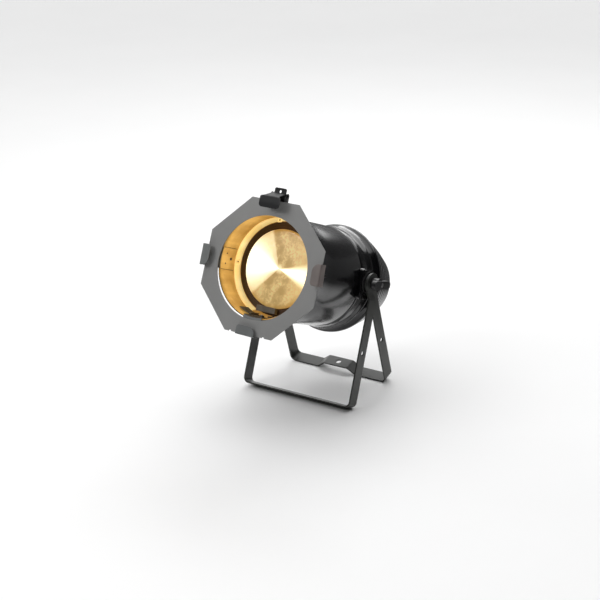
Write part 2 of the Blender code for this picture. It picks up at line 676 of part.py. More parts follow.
def make_fan(axis, spin):
    front = FAN_S
    back = FAN_S - FAN_DEPTH
    tube = [(front, FAN_R), (front, FAN_R + 0.003), (back, FAN_R + 0.003), (back, FAN_R)]
    solid("fan_frame", turned(tube, 32), "black_plastic", axis, smooth=True)
    half = FAN_DEPTH / 2 - 0.002
    hub = rod((0, half, 0), (0, -half, 0), 0.017, 24)
    rotor = solid("fan_rotor", hub, "black_plastic", spin, smooth=True)
    for k in range(FAN_BLADES):
        blade = box((0.014, -0.0012, -0.007), (FAN_R - 0.002, 0.0012, 0.007))
        pitch = Matrix.Rotation(math.radians(40), 3, "X")
        bmesh.ops.rotate(blade, cent=(0, 0, 0), matrix=pitch, verts=blade.verts)
        turn = 2 * math.pi * k / FAN_BLADES
        shape = solid(f"fan_blade_{k}_blank", blade, parent=spin, rotation=(0, turn, 0))
        combine(rotor, shape, "UNION")
    bracket = head_box((-0.052, 0.052), (back - GAP - 0.002, back - GAP), (-0.030, 0.030))
    solid("fan_bracket", bracket, "aluminium", axis)


def make_power_supply(axis):
    case = head_box((-0.048, 0.048), (-0.095, -0.035), (-0.036, 0.036))
    supply = solid("power_supply", case, "aluminium", axis)
    edge = supply.modifiers.new("edge", "BEVEL")
    edge.width = 0.002
    edge.segments = 1


# ---- rear control panel -------------------------------------------------------------------------
def make_panel(axis):
    back = PANEL_S - PANEL_THICK
    disc = [(PANEL_S, 0), (PANEL_S, PANEL_R), (back + 0.0005, PANEL_R), (back, PANEL_R - 0.0005), (back, 0)]
    panel = solid("control_panel", turned(disc, 32), "body_paint", axis, smooth=True)
    through = (back - 0.01, PANEL_S + 0.01)
    for name, (x, u, half_x, half_u) in SOCKETS.items():
        round_one = name.startswith("data")
        radius = half_u - 0.0001 if round_one else 0.002
        steps = 6 if round_one else 2
        hole = extruded(rounded_rectangle(half_x + GAP, half_u + GAP, radius, steps, (x, u)),
                        through[1] - through[0], lambda a, b, c: local(a, through[1] - c, b))
        combine(panel, solid(f"{name}_cutter", hole, parent=axis))
        make_socket(axis, name, x, u, half_x, half_u, radius, steps)
    window = head_box((-WINDOW_HALF_X, WINDOW_HALF_X), through, WINDOW_U)
    combine(panel, solid("display_cutter", window, parent=axis))
    half_x = WINDOW_HALF_X - GAP
    u_range = (WINDOW_U[0] + GAP, WINDOW_U[1] - GAP)
    display = head_box((-half_x, half_x), (back - 0.0006, PANEL_S + 0.001), u_range)
    solid("display_window", display, "display", axis)
    for x in BUTTON_X:
        hole = rod(local(x, through[0], BUTTON_U), local(x, through[1], BUTTON_U), BUTTON_HOLE_R, 16)
        combine(panel, solid(f"button_cutter_{x:.4f}", hole, parent=axis))


def make_socket(axis, name, x, u, half_x, half_u, radius, steps):
    """A flush socket body with a recess that opens to the back."""
    back = PANEL_S - PANEL_THICK
    body = extruded(rounded_rectangle(half_x, half_u, radius, steps, (x, u)), SOCKET_DEPTH,
                    lambda a, b, c: local(a, back - 0.001 + c, b))
    socket = solid(name, body, "black_plastic", axis, smooth=False)
    wall = SOCKET_WALL
    inner_r = max(0.0008, radius - wall)
    recess = extruded(rounded_rectangle(half_x - wall, half_u - wall, inner_r, steps, (x, u)),
                      SOCKET_DEPTH - 0.004, lambda a, b, c: local(a, back - 0.005 + c, b))
    combine(socket, solid(f"{name}_recess_cutter", recess, parent=axis))


def make_buttons(button_empties):
    """Round keys, each drawn in the frame of its own slide."""
    for name, slide in button_empties.items():
        stem = [(0.004, 0), (0.004, 0.0055), (0.0025, 0.0055), (0.0025, 0.0039),
                (-0.0036, 0.0039), (-0.0042, 0.0033), (-0.0042, 0)]
        solid(f"button_{name}", turned(stem, 16), "rubber", slide, smooth=True)


# ---- pivot hardware -----------------------------------------------------------------------------
def make_side_brackets(pivot):
    outline = rounded_rectangle(*BRACKET_HALVES, 0.006, 3, BRACKET_CENTRE)
    start = 0.0850
    depth = BRACKET_OUT_X - start
    for name, side in SIDES.items():
        blank = extruded(outline, depth, lambda a, b, c, way=side: local(way * (start + c), a, b))
        bracket = solid(f"side_bracket_{name}", blank, "body_paint", pivot)
        wall = rod(local(0, -0.05, -AXIS_DROP), local(0, 0.05, -AXIS_DROP), BARREL_R + 0.0009, 96)
        combine(bracket, solid(f"bracket_{name}_cutter", wall, parent=pivot))
        for tag, (s, u) in BRACKET_SCREWS.items():
            base = side * (BRACKET_OUT_X + GAP)
            tip = side * (BRACKET_OUT_X + 0.0025)
            dome = rod(local(base, s, u), local(tip, s, u), BRACKET_SCREW_R, 14)
            screw = solid(f"bracket_screw_{tag}_{name}", dome, "zinc", pivot, smooth=True)
            edge = screw.modifiers.new("edge", "BEVEL")
            edge.width = 0.0009
            edge.segments = 2
            edge.limit_method = "ANGLE"


def make_pivot_stack(pivot):
    for name, side in SIDES.items():
        hub_end = WING_OUT_X - 0.004
        stud = rod((side * (BRACKET_OUT_X + GAP), 0, 0), (side * hub_end, 0, 0), STUD_R, 16)
        solid(f"pivot_stud_{name}", stud, "zinc", pivot, smooth=True)
        for part, low, high, radius, slot in (
                ("friction_disc", BRACKET_OUT_X + GAP, DISC_OUT_X, DISC_R, "rubber"),
                ("spacer", DISC_OUT_X + GAP, SPACER_OUT_X, SPACER_R, "zinc")):
            bore = STUD_R + STUD_CLEARANCE
            disc = turned([(low, bore), (low, radius), (high, radius), (high, bore)], 28)
            bmesh.ops.rotate(disc, cent=(0, 0, 0), matrix=Matrix.Rotation(side * math.pi / 2, 3, "Z"),
                             verts=disc.verts)
            solid(f"{part}_{name}", disc, slot, pivot, smooth=True)


def make_knob(name, side, spin):
    """A two-winged hand knob.  Its frame has the pivot as origin and X along the stud."""
    hub = rod((side * KNOB_IN_X, 0, 0), (side * (WING_IN_X + 0.002), 0, 0), KNOB_HUB_R, 28)
    corner = WING_HALVES[1] - 0.0002
    wing = extruded(rounded_rectangle(*WING_HALVES, corner, 6), WING_OUT_X - WING_IN_X,
                    lambda a, b, c: Vector((side * (WING_IN_X + c), a, b)))
    knob = solid(f"knob_{name}", wing, "black_plastic", spin)
    edge = knob.modifiers.new("edge", "BEVEL")
    edge.width = 0.0015
    edge.segments = 2
    edge.limit_method = "ANGLE"
    combine(knob, solid(f"knob_hub_{name}_blank", hub, parent=spin), "UNION")
    bore = rod((side * (KNOB_IN_X - 0.01), 0, 0), (side * (WING_OUT_X - 0.003), 0, 0),
               STUD_R + STUD_CLEARANCE, 16)
    combine(knob, solid(f"knob_bore_{name}_cutter", bore, parent=spin))


# ---- yokes --------------------------------------------------------------------------------------
def strip_outline(path, thickness, steps=4):
    """A strip's edge-on outline: path is its outer face, thickness goes to the left of travel."""
    outer = rounded_path(path, steps)
    inner = []
    for k, point in enumerate(outer):
        before = outer[max(0, k - 1)]
        after = outer[min(len(outer) - 1, k + 1)]
        first = (point - before).normalized() if k else (after - point).normalized()
        second = (after - point).normalized() if k < len(outer) - 1 else first
        normal = Vector((-first.y - second.y, first.x + second.x)).normalized()
        cosine = normal.dot(Vector((-second.y, second.x)))
        inner.append(point + normal * thickness / cosine)
    return [(p.x, p.y) for p in outer] + [(p.x, p.y) for p in reversed(inner)]


def rounded_path(path, steps):
    """Replace each inner corner of a polyline of (x, z, bend radius) by a round bend."""
    points = [Vector(path[0][:2])]
    for before, (x, z, radius), after in zip(path, path[1:], path[2:]):
        corner = Vector((x, z))
        span_before = Vector(before[:2]) - corner
        span_after = Vector(after[:2]) - corner
        to_before = span_before.normalized()
        to_after = span_after.normalized()
        half = math.acos(max(-1.0, min(1.0, to_before.dot(to_after)))) / 2
        longest = 0.45 * min(span_before.length, span_after.length)
        size = min(radius, longest * math.tan(half))
        start = corner + to_before * size / math.tan(half)
        centre = corner + (to_before + to_after).normalized() * size / math.sin(half)
        arm = start - centre
        swing = math.pi - 2 * half
        if arm.y * to_before.x - arm.x * to_before.y < 0:
            swing = -swing
        for k in range(steps + 1):
            turn = Matrix.Rotation(swing * k / steps, 2)
            points.append(centre + turn @ arm)
    points.append(Vector(path[-1][:2]))
    return points


def make_yoke(name, frame, path, ear_x, ear_r, holes):
    """A bent strip in the frame of its legs: x across, -z down the legs, y across the strip."""
    half = STRIP_WIDTH / 2
    blank = extruded(strip_outline(path, STRIP_THICK), STRIP_WIDTH, lambda a, b, c: Vector((a, c - half, b)))
    yoke = solid(name, blank, "yoke_paint", frame)
    for tag, side in SIDES.items():
        ear = rod((side * (ear_x[0] + EAR_INSET), 0, 0), (side * (ear_x[1] - EAR_INSET), 0, 0), ear_r, 28)
        combine(yoke, solid(f"{name}_ear_{tag}_blank", ear, parent=frame), "UNION")
        bore = rod((side * 0.10, 0, 0), (side * 0.13, 0, 0), STUD_R + STUD_CLEARANCE, 16)
        combine(yoke, solid(f"{name}_bore_{tag}_cutter", bore, parent=frame))
    for k, (start, end, radius) in enumerate(holes):
        combine(yoke, solid(f"{name}_hole_{k}_cutter", rod(start, end, radius, 16), parent=frame))


def leg_holes(z):
    return [((side * 0.10, 0, z), (side * 0.13, 0, z), LEG_HOLE_R) for side in SIDES.values()]


def make_front_yoke(frame):
    out = FRONT_WIDTH / 2
    ear_out = FRONT_EAR_OUT_X
    leg = [(ear_out, -0.004, 0), (ear_out, JOGGLE_Z[0], JOGGLE_BEND), (out, JOGGLE_Z[1], JOGGLE_BEND),
           (out, -FRONT_LEG, BEND_RADIUS)]
    path = [(-x, z, radius) for x, z, radius in leg] + list(reversed(leg))
    make_yoke("front_yoke", frame, path, (ear_out - STRIP_THICK, ear_out), FRONT_EAR_R, leg_holes(FRONT_HOLE_Z))


def make_rear_yoke(frame):
    out = REAR_WIDTH / 2
    top = -REAR_LEG + HANGER_RISE
    flat, foot = HANGER_HALVES
    path = [(-out, -0.004, 0), (-out, -REAR_LEG, BEND_RADIUS), (HANGER_X - foot, -REAR_LEG, HANGER_BEND),
            (HANGER_X - flat, top, HANGER_BEND), (HANGER_X + flat, top, HANGER_BEND),
            (HANGER_X + foot, -REAR_LEG, HANGER_BEND), (out, -REAR_LEG, BEND_RADIUS), (out, -0.004, 0)]
    holes = leg_holes(REAR_HOLE_Z)
    holes.append(((HANGER_X, 0, top - 0.01), (HANGER_X, 0, top + 0.01), HANGER_HOLE_R))
    make_yoke("rear_yoke", frame, path, (out - STRIP_THICK, out), REAR_EAR_R, holes)


# ---- assembly -----------------------------------------------------------------------------------
def build():
    clear_scene()
    pivot_at = (0, PIVOT_Y, PIVOT_HEIGHT)
    front = empty("front_yoke_frame", pivot_at, (-FRONT_LEAN, 0, 0))
    rear = empty("rear_yoke_frame", pivot_at, (REAR_LEAN, 0, 0))
    head = empty("head_pivot", pivot_at, (-TILT, 0, 0))
    axis = empty("barrel_axis", (0, 0, -AXIS_DROP), parent=head)

    make_front_yoke(front)
    make_rear_yoke(rear)

    make_barrel(axis)
    make_joint_ring(axis)
    make_rear_cap(axis)
    make_gel_frame(empty("frame_seat", local(0, FRAME_FRONT, -FRAME_DROP), (FRAME_LEAN, 0, 0), axis))
    make_clips(axis)
    latch_pin = empty("latch_hinge", local(0, PIN_S, PIN_R), parent=axis)
    make_latch(axis, latch_pin)
    make_latch_spring(latch_pin)

    make_retaining_ring(axis)
    make_wall_screws(axis)
    zoom = empty("zoom_slide", parent=axis)
    make_lens(zoom)
    make_lens_carrier(zoom)
    make_zoom_screw(empty("zoom_screw_axis", local(0, ZOOM_SCREW_S, 0), parent=axis))
    make_light_source(axis)
    make_fan(axis, empty("fan_axis", local(0, FAN_S - FAN_DEPTH / 2, 0), parent=axis))
    make_power_supply(axis)

    make_panel(axis)
    slides = {}
    for name, x in zip(BUTTON_NAMES, BUTTON_X):
        slides[name] = empty(f"button_{name}_slide", local(x, PANEL_S, BUTTON_U), parent=axis)
    make_buttons(slides)

    make_side_brackets(head)
    make_pivot_stack(head)
    for name, side in SIDES.items():
        make_knob(name, side, empty(f"knob_{name}_axis", pivot_at, (WING_TURN, 0, 0)))


build()
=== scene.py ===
import json
from math import acos, cos, degrees, exp, pi, radians, sin, sqrt, tan

import bmesh
import bpy
from mathutils import Matrix, Vector


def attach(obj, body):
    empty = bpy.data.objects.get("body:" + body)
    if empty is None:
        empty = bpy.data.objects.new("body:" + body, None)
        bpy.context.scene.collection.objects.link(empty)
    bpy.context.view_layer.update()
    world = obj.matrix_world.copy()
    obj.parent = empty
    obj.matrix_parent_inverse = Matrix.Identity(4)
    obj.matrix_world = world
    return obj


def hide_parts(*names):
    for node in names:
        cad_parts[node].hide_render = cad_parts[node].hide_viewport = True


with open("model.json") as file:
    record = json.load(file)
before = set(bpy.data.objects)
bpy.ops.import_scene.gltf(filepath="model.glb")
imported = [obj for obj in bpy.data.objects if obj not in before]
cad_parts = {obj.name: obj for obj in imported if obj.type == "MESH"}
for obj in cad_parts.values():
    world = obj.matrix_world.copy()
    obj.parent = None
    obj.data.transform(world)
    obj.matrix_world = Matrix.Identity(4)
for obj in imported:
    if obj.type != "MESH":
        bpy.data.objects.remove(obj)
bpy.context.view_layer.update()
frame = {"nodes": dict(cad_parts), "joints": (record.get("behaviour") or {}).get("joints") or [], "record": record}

# the light's own axes, read from its joints: x across, s along the beam, u up
joints = {joint["name"]: joint for joint in frame["joints"]}
mounts = {mount["name"]: mount for mount in frame["record"]["mounts"]}
pivot = Vector(joints["head_tilt"]["pos_m"])
beam = Vector(joints["zoom_slide"]["axis"]).normalized()
across = Vector((1, 0, 0))
headUp = across.cross(-beam)


def axesMatrix(origin, yAxis, zAxis):
    turn = Matrix((across, yAxis, zAxis)).transposed().to_4x4()
    return Matrix.Translation(origin) @ turn


headMatrix = axesMatrix(pivot, -beam, headUp)
onAxis = Vector(joints["fan_spin"]["pos_m"])
barrelMatrix = axesMatrix(onAxis - beam * (onAxis - pivot).dot(beam), -beam, headUp)


def yokeMatrix(mountName):
    legDown = Vector(mounts[mountName]["axis"]).normalized()
    return axesMatrix(pivot, (-legDown).cross(across), -legDown)


frontMatrix = yokeMatrix("front_yoke_base")
rearMatrix = yokeMatrix("hanger_plate")

camera = dict(
    azimuth=33.894, elevation=21.497, distance=3.0596, roll=-1.4219, aside=-0.0413, above=-0.0526,
    focal=94.865)


def makeCamera():
    turn, lift, roll = (radians(camera[k]) for k in ("azimuth", "elevation", "roll"))
    back = Vector((sin(turn) * cos(lift), -cos(turn) * cos(lift), sin(lift)))
    level = Vector((cos(turn), sin(turn), 0))
    rise = back.cross(level)
    right = level * cos(roll) + rise * sin(roll)
    top = rise * cos(roll) - level * sin(roll)
    data = bpy.data.cameras.new("camera")
    data.sensor_width = 36
    data.lens = camera["focal"]
    eye = bpy.data.objects.new("camera", data)
    place = pivot + back * camera["distance"] + right * camera["aside"] + top * camera["above"]
    eye.matrix_world = Matrix.Translation(place) @ Matrix((right, top, back)).transposed().to_4x4()
    bpy.context.scene.collection.objects.link(eye)
    bpy.context.scene.camera = eye


makeCamera()
print("stage: camera placed")


# node helpers for the finishes
def newFinish(name, colour, roughness, metallic=0.0, **sockets):
    finish = bpy.data.materials.new(name)
    finish.use_nodes = True
    shader = finish.node_tree.nodes["Principled BSDF"]
    shader.inputs["Base Color"].default_value = (*colour, 1)
    shader.inputs["Roughness"].default_value = roughness
    shader.inputs["Metallic"].default_value = metallic
    for socket, value in sockets.items():
        shader.inputs[socket.replace("_", " ")].default_value = value
    return finish, finish.node_tree, shader


def addNode(tree, kind, **settings):
    node = tree.nodes.new("ShaderNode" + kind)
    for name, value in settings.items():
        setattr(node, name, value)
    return node


def feed(tree, target, source):
    if hasattr(source, "is_output"):
        tree.links.new(source, target)
    else:
        target.default_value = source


def sums(tree, operation, first, second=0.0):
    node = addNode(tree, "Math", operation=operation)
    feed(tree, node.inputs[0], first)
    feed(tree, node.inputs[1], second)
    return node.outputs[0]


def times(tree, first, second):
    return sums(tree, "MULTIPLY", first, second)


def ramped(tree, value, low, high, toLow=0.0, toHigh=1.0):
    node = addNode(tree, "MapRange", interpolation_type="SMOOTHSTEP")
    for socket, item in zip(("Value", "From Min", "From Max", "To Min", "To Max"),
                            (value, low, high, toLow, toHigh)):
        feed(tree, node.inputs[socket], item)
    return node.outputs[0]


def blendColours(tree, share, first, second):
    node = addNode(tree, "Mix", data_type="RGBA")
    feed(tree, node.inputs[0], share)
    for slot, item in ((6, first), (7, second)):
        feed(tree, node.inputs[slot], (*item, 1) if isinstance(item, tuple) else item)
    return node.outputs[2]


def grain(tree, scale, detail=3.0, stretch=None):
    spot = addNode(tree, "TexCoord").outputs["Object"]
    if stretch:
        mapping = addNode(tree, "Mapping")
        mapping.inputs["Scale"].default_value = stretch
        tree.links.new(spot, mapping.inputs["Vector"])
        spot = mapping.outputs[0]
    texture = addNode(tree, "TexNoise")
    texture.inputs["Scale"].default_value = scale
    texture.inputs["Detail"].default_value = detail
    tree.links.new(spot, texture.inputs["Vector"])
    return texture.outputs["Fac"]


def bumped(tree, shader, height, strength, distance):
    bump = addNode(tree, "Bump")
    bump.inputs["Strength"].default_value = strength
    bump.inputs["Distance"].default_value = distance
    tree.links.new(height, bump.inputs["Height"])
    tree.links.new(bump.outputs[0], shader.inputs["Normal"])


def edgeWear(tree):
    # pointiness rises along sharp outside edges
    edges = addNode(tree, "NewGeometry").outputs["Pointiness"]
    return ramped(tree, edges, 0.53, 0.62)


def coloured(tree, shader, base, wander, roughness, less, more):
    # the colour, and a gloss that wanders with the noise
    tree.links.new(base, shader.inputs["Base Color"])
    rough = ramped(tree, wander, 0.3, 0.7, roughness - less, roughness + more)
    tree.links.new(rough, shader.inputs["Roughness"])


def coatedPaint(name, colour, roughness, patch=0.25, peel=0.0001, worn=None, **sockets):
    # sprayed or powder-coated metal: soft patches, orange peel, and edges rubbed to the worn colour
    finish, tree, shader = newFinish(name, colour, roughness, **sockets)
    soft = grain(tree, 14, 4)
    dark = tuple(c * (1 - patch) for c in colour)
    light = tuple(c * (1 + patch) for c in colour)
    base = blendColours(tree, ramped(tree, soft, 0.3, 0.7), dark, light)
    if worn:
        rub = times(tree, edgeWear(tree), ramped(tree, grain(tree, 60, 5), 0.35, 0.65))
        base = blendColours(tree, rub, base, worn)
    coloured(tree, shader, base, soft, roughness, 0.03, 0.04)
    bumped(tree, shader, grain(tree, 900, 2), 0.25, peel)
    return finish


def paintedLampLightMetal(name, colour, shade, roughness, glow=0.0):
    # metal with painted lamp light: the warm colour and the glow stand in for the lamp lighting it, with
    # lengthways drawn lines and slow changes of tone
    finish, tree, shader = newFinish(name, colour, roughness, 0.35)
    slow = grain(tree, 22, 3)
    lines = grain(tree, 120, 3, (1, 0.05, 1))
    base = blendColours(tree, ramped(tree, slow, 0.3, 0.7), shade, colour)
    base = blendColours(tree, ramped(tree, lines, 0.35, 0.65, 0, 0.25), base, shade)
    coloured(tree, shader, base, lines, roughness, 0.06, 0.08)
    # the painted lamp light also glows
    if glow:
        tree.links.new(base, shader.inputs["Emission Color"])
        shader.inputs["Emission Strength"].default_value = glow
    bumped(tree, shader, lines, 0.15, 0.0002)
    return finish


def plainMetal(name, colour, roughness, scratch=(1, 1, 1)):
    finish, tree, shader = newFinish(name, colour, roughness, 0.95)
    marks = grain(tree, 500, 3, scratch)
    dull = tuple(c * 0.72 for c in colour)
    base = blendColours(tree, ramped(tree, grain(tree, 90, 4), 0.35, 0.7), colour, dull)
    coloured(tree, shader, base, marks, roughness, 0.08, 0.1)
    bumped(tree, shader, marks, 0.2, 0.0001)
    return finish


def mouldedPlastic(name, colour, roughness):
    finish, tree, shader = newFinish(name, colour, roughness)
    soft = grain(tree, 40, 3)
    lighter = tuple(c * 1.6 + 0.004 for c in colour)
    base = blendColours(tree, ramped(tree, soft, 0.3, 0.7), colour, lighter)
    coloured(tree, shader, base, soft, roughness, 0.05, 0.08)
    bumped(tree, shader, grain(tree, 1600, 2), 0.25, 0.00008)
    return finish


# the lens's colours; white, glare and the fans' angles draw a painted highlight
lensLook = dict(
    radius=0.0744, cream=(0.84, 0.64, 0.29), tan=(0.52, 0.35, 0.13), white=(1.0, 0.91, 0.64),
    rim=(0.5, 0.28, 0.06), glow=0.38, paintedGlare=1.15, leftLow=(-0.88, -0.76), leftHigh=(1.12, 1.22),
    rightLow=(-0.55, -0.22), rightHigh=(0.02, 0.36))


def fanned(tree, angle, low, high):
    # full between two angles, soft at both ends
    return times(tree, ramped(tree, angle, *low), ramped(tree, angle, *high, 1, 0))


def lensFinish():
    look = lensLook
    finish, tree, shader = newFinish("lensGlass", look["cream"], 0.3, 0.0, Coat_Weight=0.3)
    place = addNode(tree, "SeparateXYZ")
    tree.links.new(addNode(tree, "TexCoord").outputs["Object"], place.inputs[0])
    x, u = place.outputs["X"], place.outputs["Z"]
    reach = sums(tree, "SQRT", sums(tree, "ADD", times(tree, x, x), times(tree, u, u)))
    share = sums(tree, "DIVIDE", reach, look["radius"])
    # painted highlight: the glare spreads from the middle to both sides, wide on the left and narrow on the right,
    # and is painted into the colour and the glow
    left = sums(tree, "ARCTAN2", u, times(tree, x, -1.0))
    right = sums(tree, "ARCTAN2", u, x)
    middle = ramped(tree, sums(tree, "ABSOLUTE", sums(tree, "SUBTRACT", left, 0.1)), 0.2, 0.95, 1.0, 0.34)
    leftPaintedHighlight = times(tree, fanned(tree, left, look["leftLow"], look["leftHigh"]), middle)
    rightPaintedHighlight = fanned(tree, right, look["rightLow"], look["rightHigh"])
    rightPaintedHighlight = times(tree, rightPaintedHighlight, ramped(tree, share, 0.5, 1.0, 1.0, 0.7))
    paintedHighlight = sums(tree, "MAXIMUM", leftPaintedHighlight, rightPaintedHighlight)
    centrePaintedHighlight = ramped(tree, share, 0.02, 0.16, 0.5, 0.0)
    paintedHighlight = sums(tree, "MAXIMUM", paintedHighlight, centrePaintedHighlight)
    speckle = grain(tree, 240, 5)
    cloud = grain(tree, 45, 5)
    # the mottling is strongest above and below the middle
    aside = sums(tree, "ABSOLUTE", sums(tree, "DIVIDE", x, look["radius"]))
    lobe = ramped(tree, aside, 0.15, 0.75, 1.0, 0.35)
    patches = times(tree, ramped(tree, cloud, 0.36, 0.66), lobe)
    base = blendColours(tree, patches, look["cream"], look["tan"])
    stipple = times(tree, ramped(tree, speckle, 0.42, 0.6), lobe)
    base = blendColours(tree, times(tree, stipple, 0.55), base, look["tan"])
    base = blendColours(tree, ramped(tree, share, 0.84, 1.0, 0, 0.75), base, look["rim"])
    # the painted highlight whitens the colour and adds to the glow
    base = blendColours(tree, paintedHighlight, base, look["white"])
    tree.links.new(base, shader.inputs["Base Color"])
    tree.links.new(base, shader.inputs["Emission Color"])
    strength = sums(tree, "ADD", times(tree, paintedHighlight, look["paintedGlare"]), look["glow"])
    tree.links.new(strength, shader.inputs["Emission Strength"])
    bumped(tree, shader, speckle, 0.3, 0.0002)
    return finish


finishes = dict(
    body=coatedPaint("bodyPaint", (0.006, 0.006, 0.0068), 0.19, 0.2, 0.00002,
                     Specular_IOR_Level=0.5, Coat_Weight=0.5, Coat_Roughness=0.12),
    frame=coatedPaint("framePaint", (0.262, 0.262, 0.258), 0.45, 0.05),
    yoke=coatedPaint("yokePaint", (0.038, 0.04, 0.036), 0.36, 0.12),
    leftClip=coatedPaint("leftClipPaint", (0.165, 0.175, 0.172), 0.44, 0.1, worn=(0.34, 0.34, 0.34)),
    bottomClip=coatedPaint("bottomClipPaint", (0.15, 0.158, 0.158), 0.44, 0.1, worn=(0.34, 0.34, 0.34)),
    rightClip=coatedPaint("rightClipPaint", (0.18, 0.152, 0.142), 0.44, 0.15, worn=(0.3, 0.27, 0.25)),
    latch=coatedPaint("latchPaint", (0.01, 0.01, 0.011), 0.42, 0.15, worn=(0.12, 0.12, 0.12),
                      Specular_IOR_Level=0.2),
    blockPaint=coatedPaint("blockPaint", (0.13, 0.115, 0.09), 0.5, 0.2, worn=(0.25, 0.22, 0.18)),
    patchDark=coatedPaint("patchDark", (0.03, 0.022, 0.014), 0.45, 0.3, worn=(0.1, 0.08, 0.05)),
    # gold and ring are painted lamp light on the inside wall and the retaining ring, warm and glowing
    gold=paintedLampLightMetal("paintedLampLightWall", (0.74, 0.46, 0.12), (0.48, 0.26, 0.05), 0.42, 0.32),
    ring=paintedLampLightMetal("paintedLampLightRing", (1.0, 0.84, 0.42), (0.9, 0.64, 0.22), 0.35, 0.55),
    brown=coatedPaint("carrierBlack", (0.07, 0.036, 0.012), 0.55, 0.25, 0.0002, worn=(0.12, 0.06, 0.03)),
    plastic=mouldedPlastic("blackPlastic", (0.012, 0.012, 0.013), 0.36),
    rubber=mouldedPlastic("blackRubber", (0.016, 0.016, 0.016), 0.7),
    zinc=plainMetal("zincPlate", (0.55, 0.55, 0.56), 0.36),
    darkSteel=plainMetal("darkSteel", (0.1, 0.1, 0.1), 0.42),
    aluminium=plainMetal("aluminium", (0.72, 0.72, 0.73), 0.4, (1, 0.1, 1)),
    board=mouldedPlastic("circuitBoard", (0.6, 0.6, 0.58), 0.45),
    phosphor=mouldedPlastic("phosphor", (0.8, 0.62, 0.1), 0.5),
    glass=lensFinish(),
    window=mouldedPlastic("displayWindow", (0.012, 0.018, 0.02), 0.12),
    panel=coatedPaint("panelPaint", (0.02, 0.02, 0.022), 0.38, 0.2),
    button=mouldedPlastic("buttonRubber", (0.08, 0.08, 0.085), 0.6),
)
print("stage: finishes mixed")


# shape helpers
def loose(bm, place, name="tool"):
    bmesh.ops.recalc_face_normals(bm, faces=bm.faces)
    mesh = bpy.data.meshes.new(name)
    bm.to_mesh(mesh)
    bm.free()
    made = bpy.data.objects.new(name, mesh)
    made.matrix_world = place
    bpy.context.scene.collection.objects.link(made)
    return made


def piece(name, bm, finish, place, body, node=None, slot=None, **edges):
    # finish is one name, or two for a piece that is painted differently inside
    made = loose(bm, place, name)
    for item in [finish] if isinstance(finish, str) else finish:
        made.data.materials.append(finishes[item])
    settle(made, **edges)
    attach(made, body)
    if node:
        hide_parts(node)
    return made


def stamped(made, node, slot, **edges):
    # the last steps of a piece that was carved after it was made
    settle(made, **edges)
    if node:
        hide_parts(node)


def onBarrel(name, bm, finish, node=None, slot=None, **more):
    return piece(name, bm, finish, barrelMatrix, "head", node, slot, **more)


def settle(made, smooth=True, bevel=0.0, bevelSteps=2, angle=35):
    if bevel:
        edge = made.modifiers.new("edge", "BEVEL")
        edge.width = bevel
        edge.segments = bevelSteps
        edge.limit_method = "ANGLE"
        edge.angle_limit = radians(40)
    if smooth:
        made.data.shade_smooth()
        made.data.set_sharp_from_angle(angle=radians(angle))


def carved(made, cutters, operation="DIFFERENCE"):
    # cut or join, then apply, before the bevel
    for k, cutter in enumerate(cutters):
        step = made.modifiers.new(f"cut{k}", "BOOLEAN")
        step.operation = operation
        step.solver = "EXACT"
        step.object = cutter
    bpy.context.view_layer.update()
    mesh = bpy.data.meshes.new_from_object(made.evaluated_get(bpy.context.evaluated_depsgraph_get()))
    old = made.data
    made.modifiers.clear()
    made.data = mesh
    bpy.data.meshes.remove(old)
    for cutter in cutters:
        bpy.data.objects.remove(cutter)
    return made


def stitch(bm, first, second):
    # a band of faces between two closed rings of points
    for k in range(len(first)):
        after = (k + 1) % len(first)
        bm.faces.new((first[k], first[after], second[after], second[k]))


def turned(profile, segments=160, start=0.0, end=None):
    # lathe of a closed (s, r) outline about the beam; points with r = 0 are poles
    whole = end is None
    bm = bmesh.new()
    count = segments if whole else segments + 1
    span = 2 * pi if whole else end - start
    rings = []
    for s, r in profile:
        if r == 0:
            rings.append([bm.verts.new((0, -s, 0))] * count)
            continue
        turns = [start + span * k / segments for k in range(count)]
        rings.append([bm.verts.new((r * sin(t), -s, r * cos(t))) for t in turns])
    for first, second in zip(rings, rings[1:] + rings[:1]):
        for k in range(segments):
            after = (k + 1) % count
            corners = list(dict.fromkeys((first[k], first[after], second[after], second[k])))
            if len(corners) > 2:
                bm.faces.new(corners)
    if not whole:
        bm.faces.new([ring[0] for ring in rings])
        bm.faces.new([ring[-1] for ring in rings])
    return bm


def extruded(outline, depth, place):
    bm = bmesh.new()
    near = [bm.verts.new(place(a, b, 0)) for a, b in outline]
    far = [bm.verts.new(place(a, b, depth)) for a, b in outline]
    bm.faces.new(near)
    bm.faces.new(far)
    stitch(bm, near, far)
    return bm


def rod(start, end, radius, segments=48, tip=None):
    start, end = Vector(start), Vector(end)
    span = end - start
    bm = bmesh.new()
    bmesh.ops.create_cone(bm, cap_ends=True, segments=segments, radius1=radius,
                          radius2=radius if tip is None else tip, depth=span.length)
    turn = Vector((0, 0, 1)).rotation_difference(span.normalized()).to_matrix().to_4x4()
    bmesh.ops.transform(bm, matrix=Matrix.Translation((start + end) / 2) @ turn, verts=bm.verts)
    return bm


def crossRod(low, high, radius, segments=32, side=1):
    return rod((side * low, 0, 0), (side * high, 0, 0), radius, segments)


def block(low, high):
    bm = bmesh.new()
    bmesh.ops.create_cube(bm, size=1)
    for vert in bm.verts:
        vert.co = [low[k] if vert.co[k] < 0 else high[k] for k in range(3)]
    return bm


def joined(*shapes):
    bm = bmesh.new()
    for shape in shapes:
        mesh = bpy.data.meshes.new("part")
        shape.to_mesh(mesh)
        shape.free()
        bm.from_mesh(mesh)
        bpy.data.meshes.remove(mesh)
    return bm


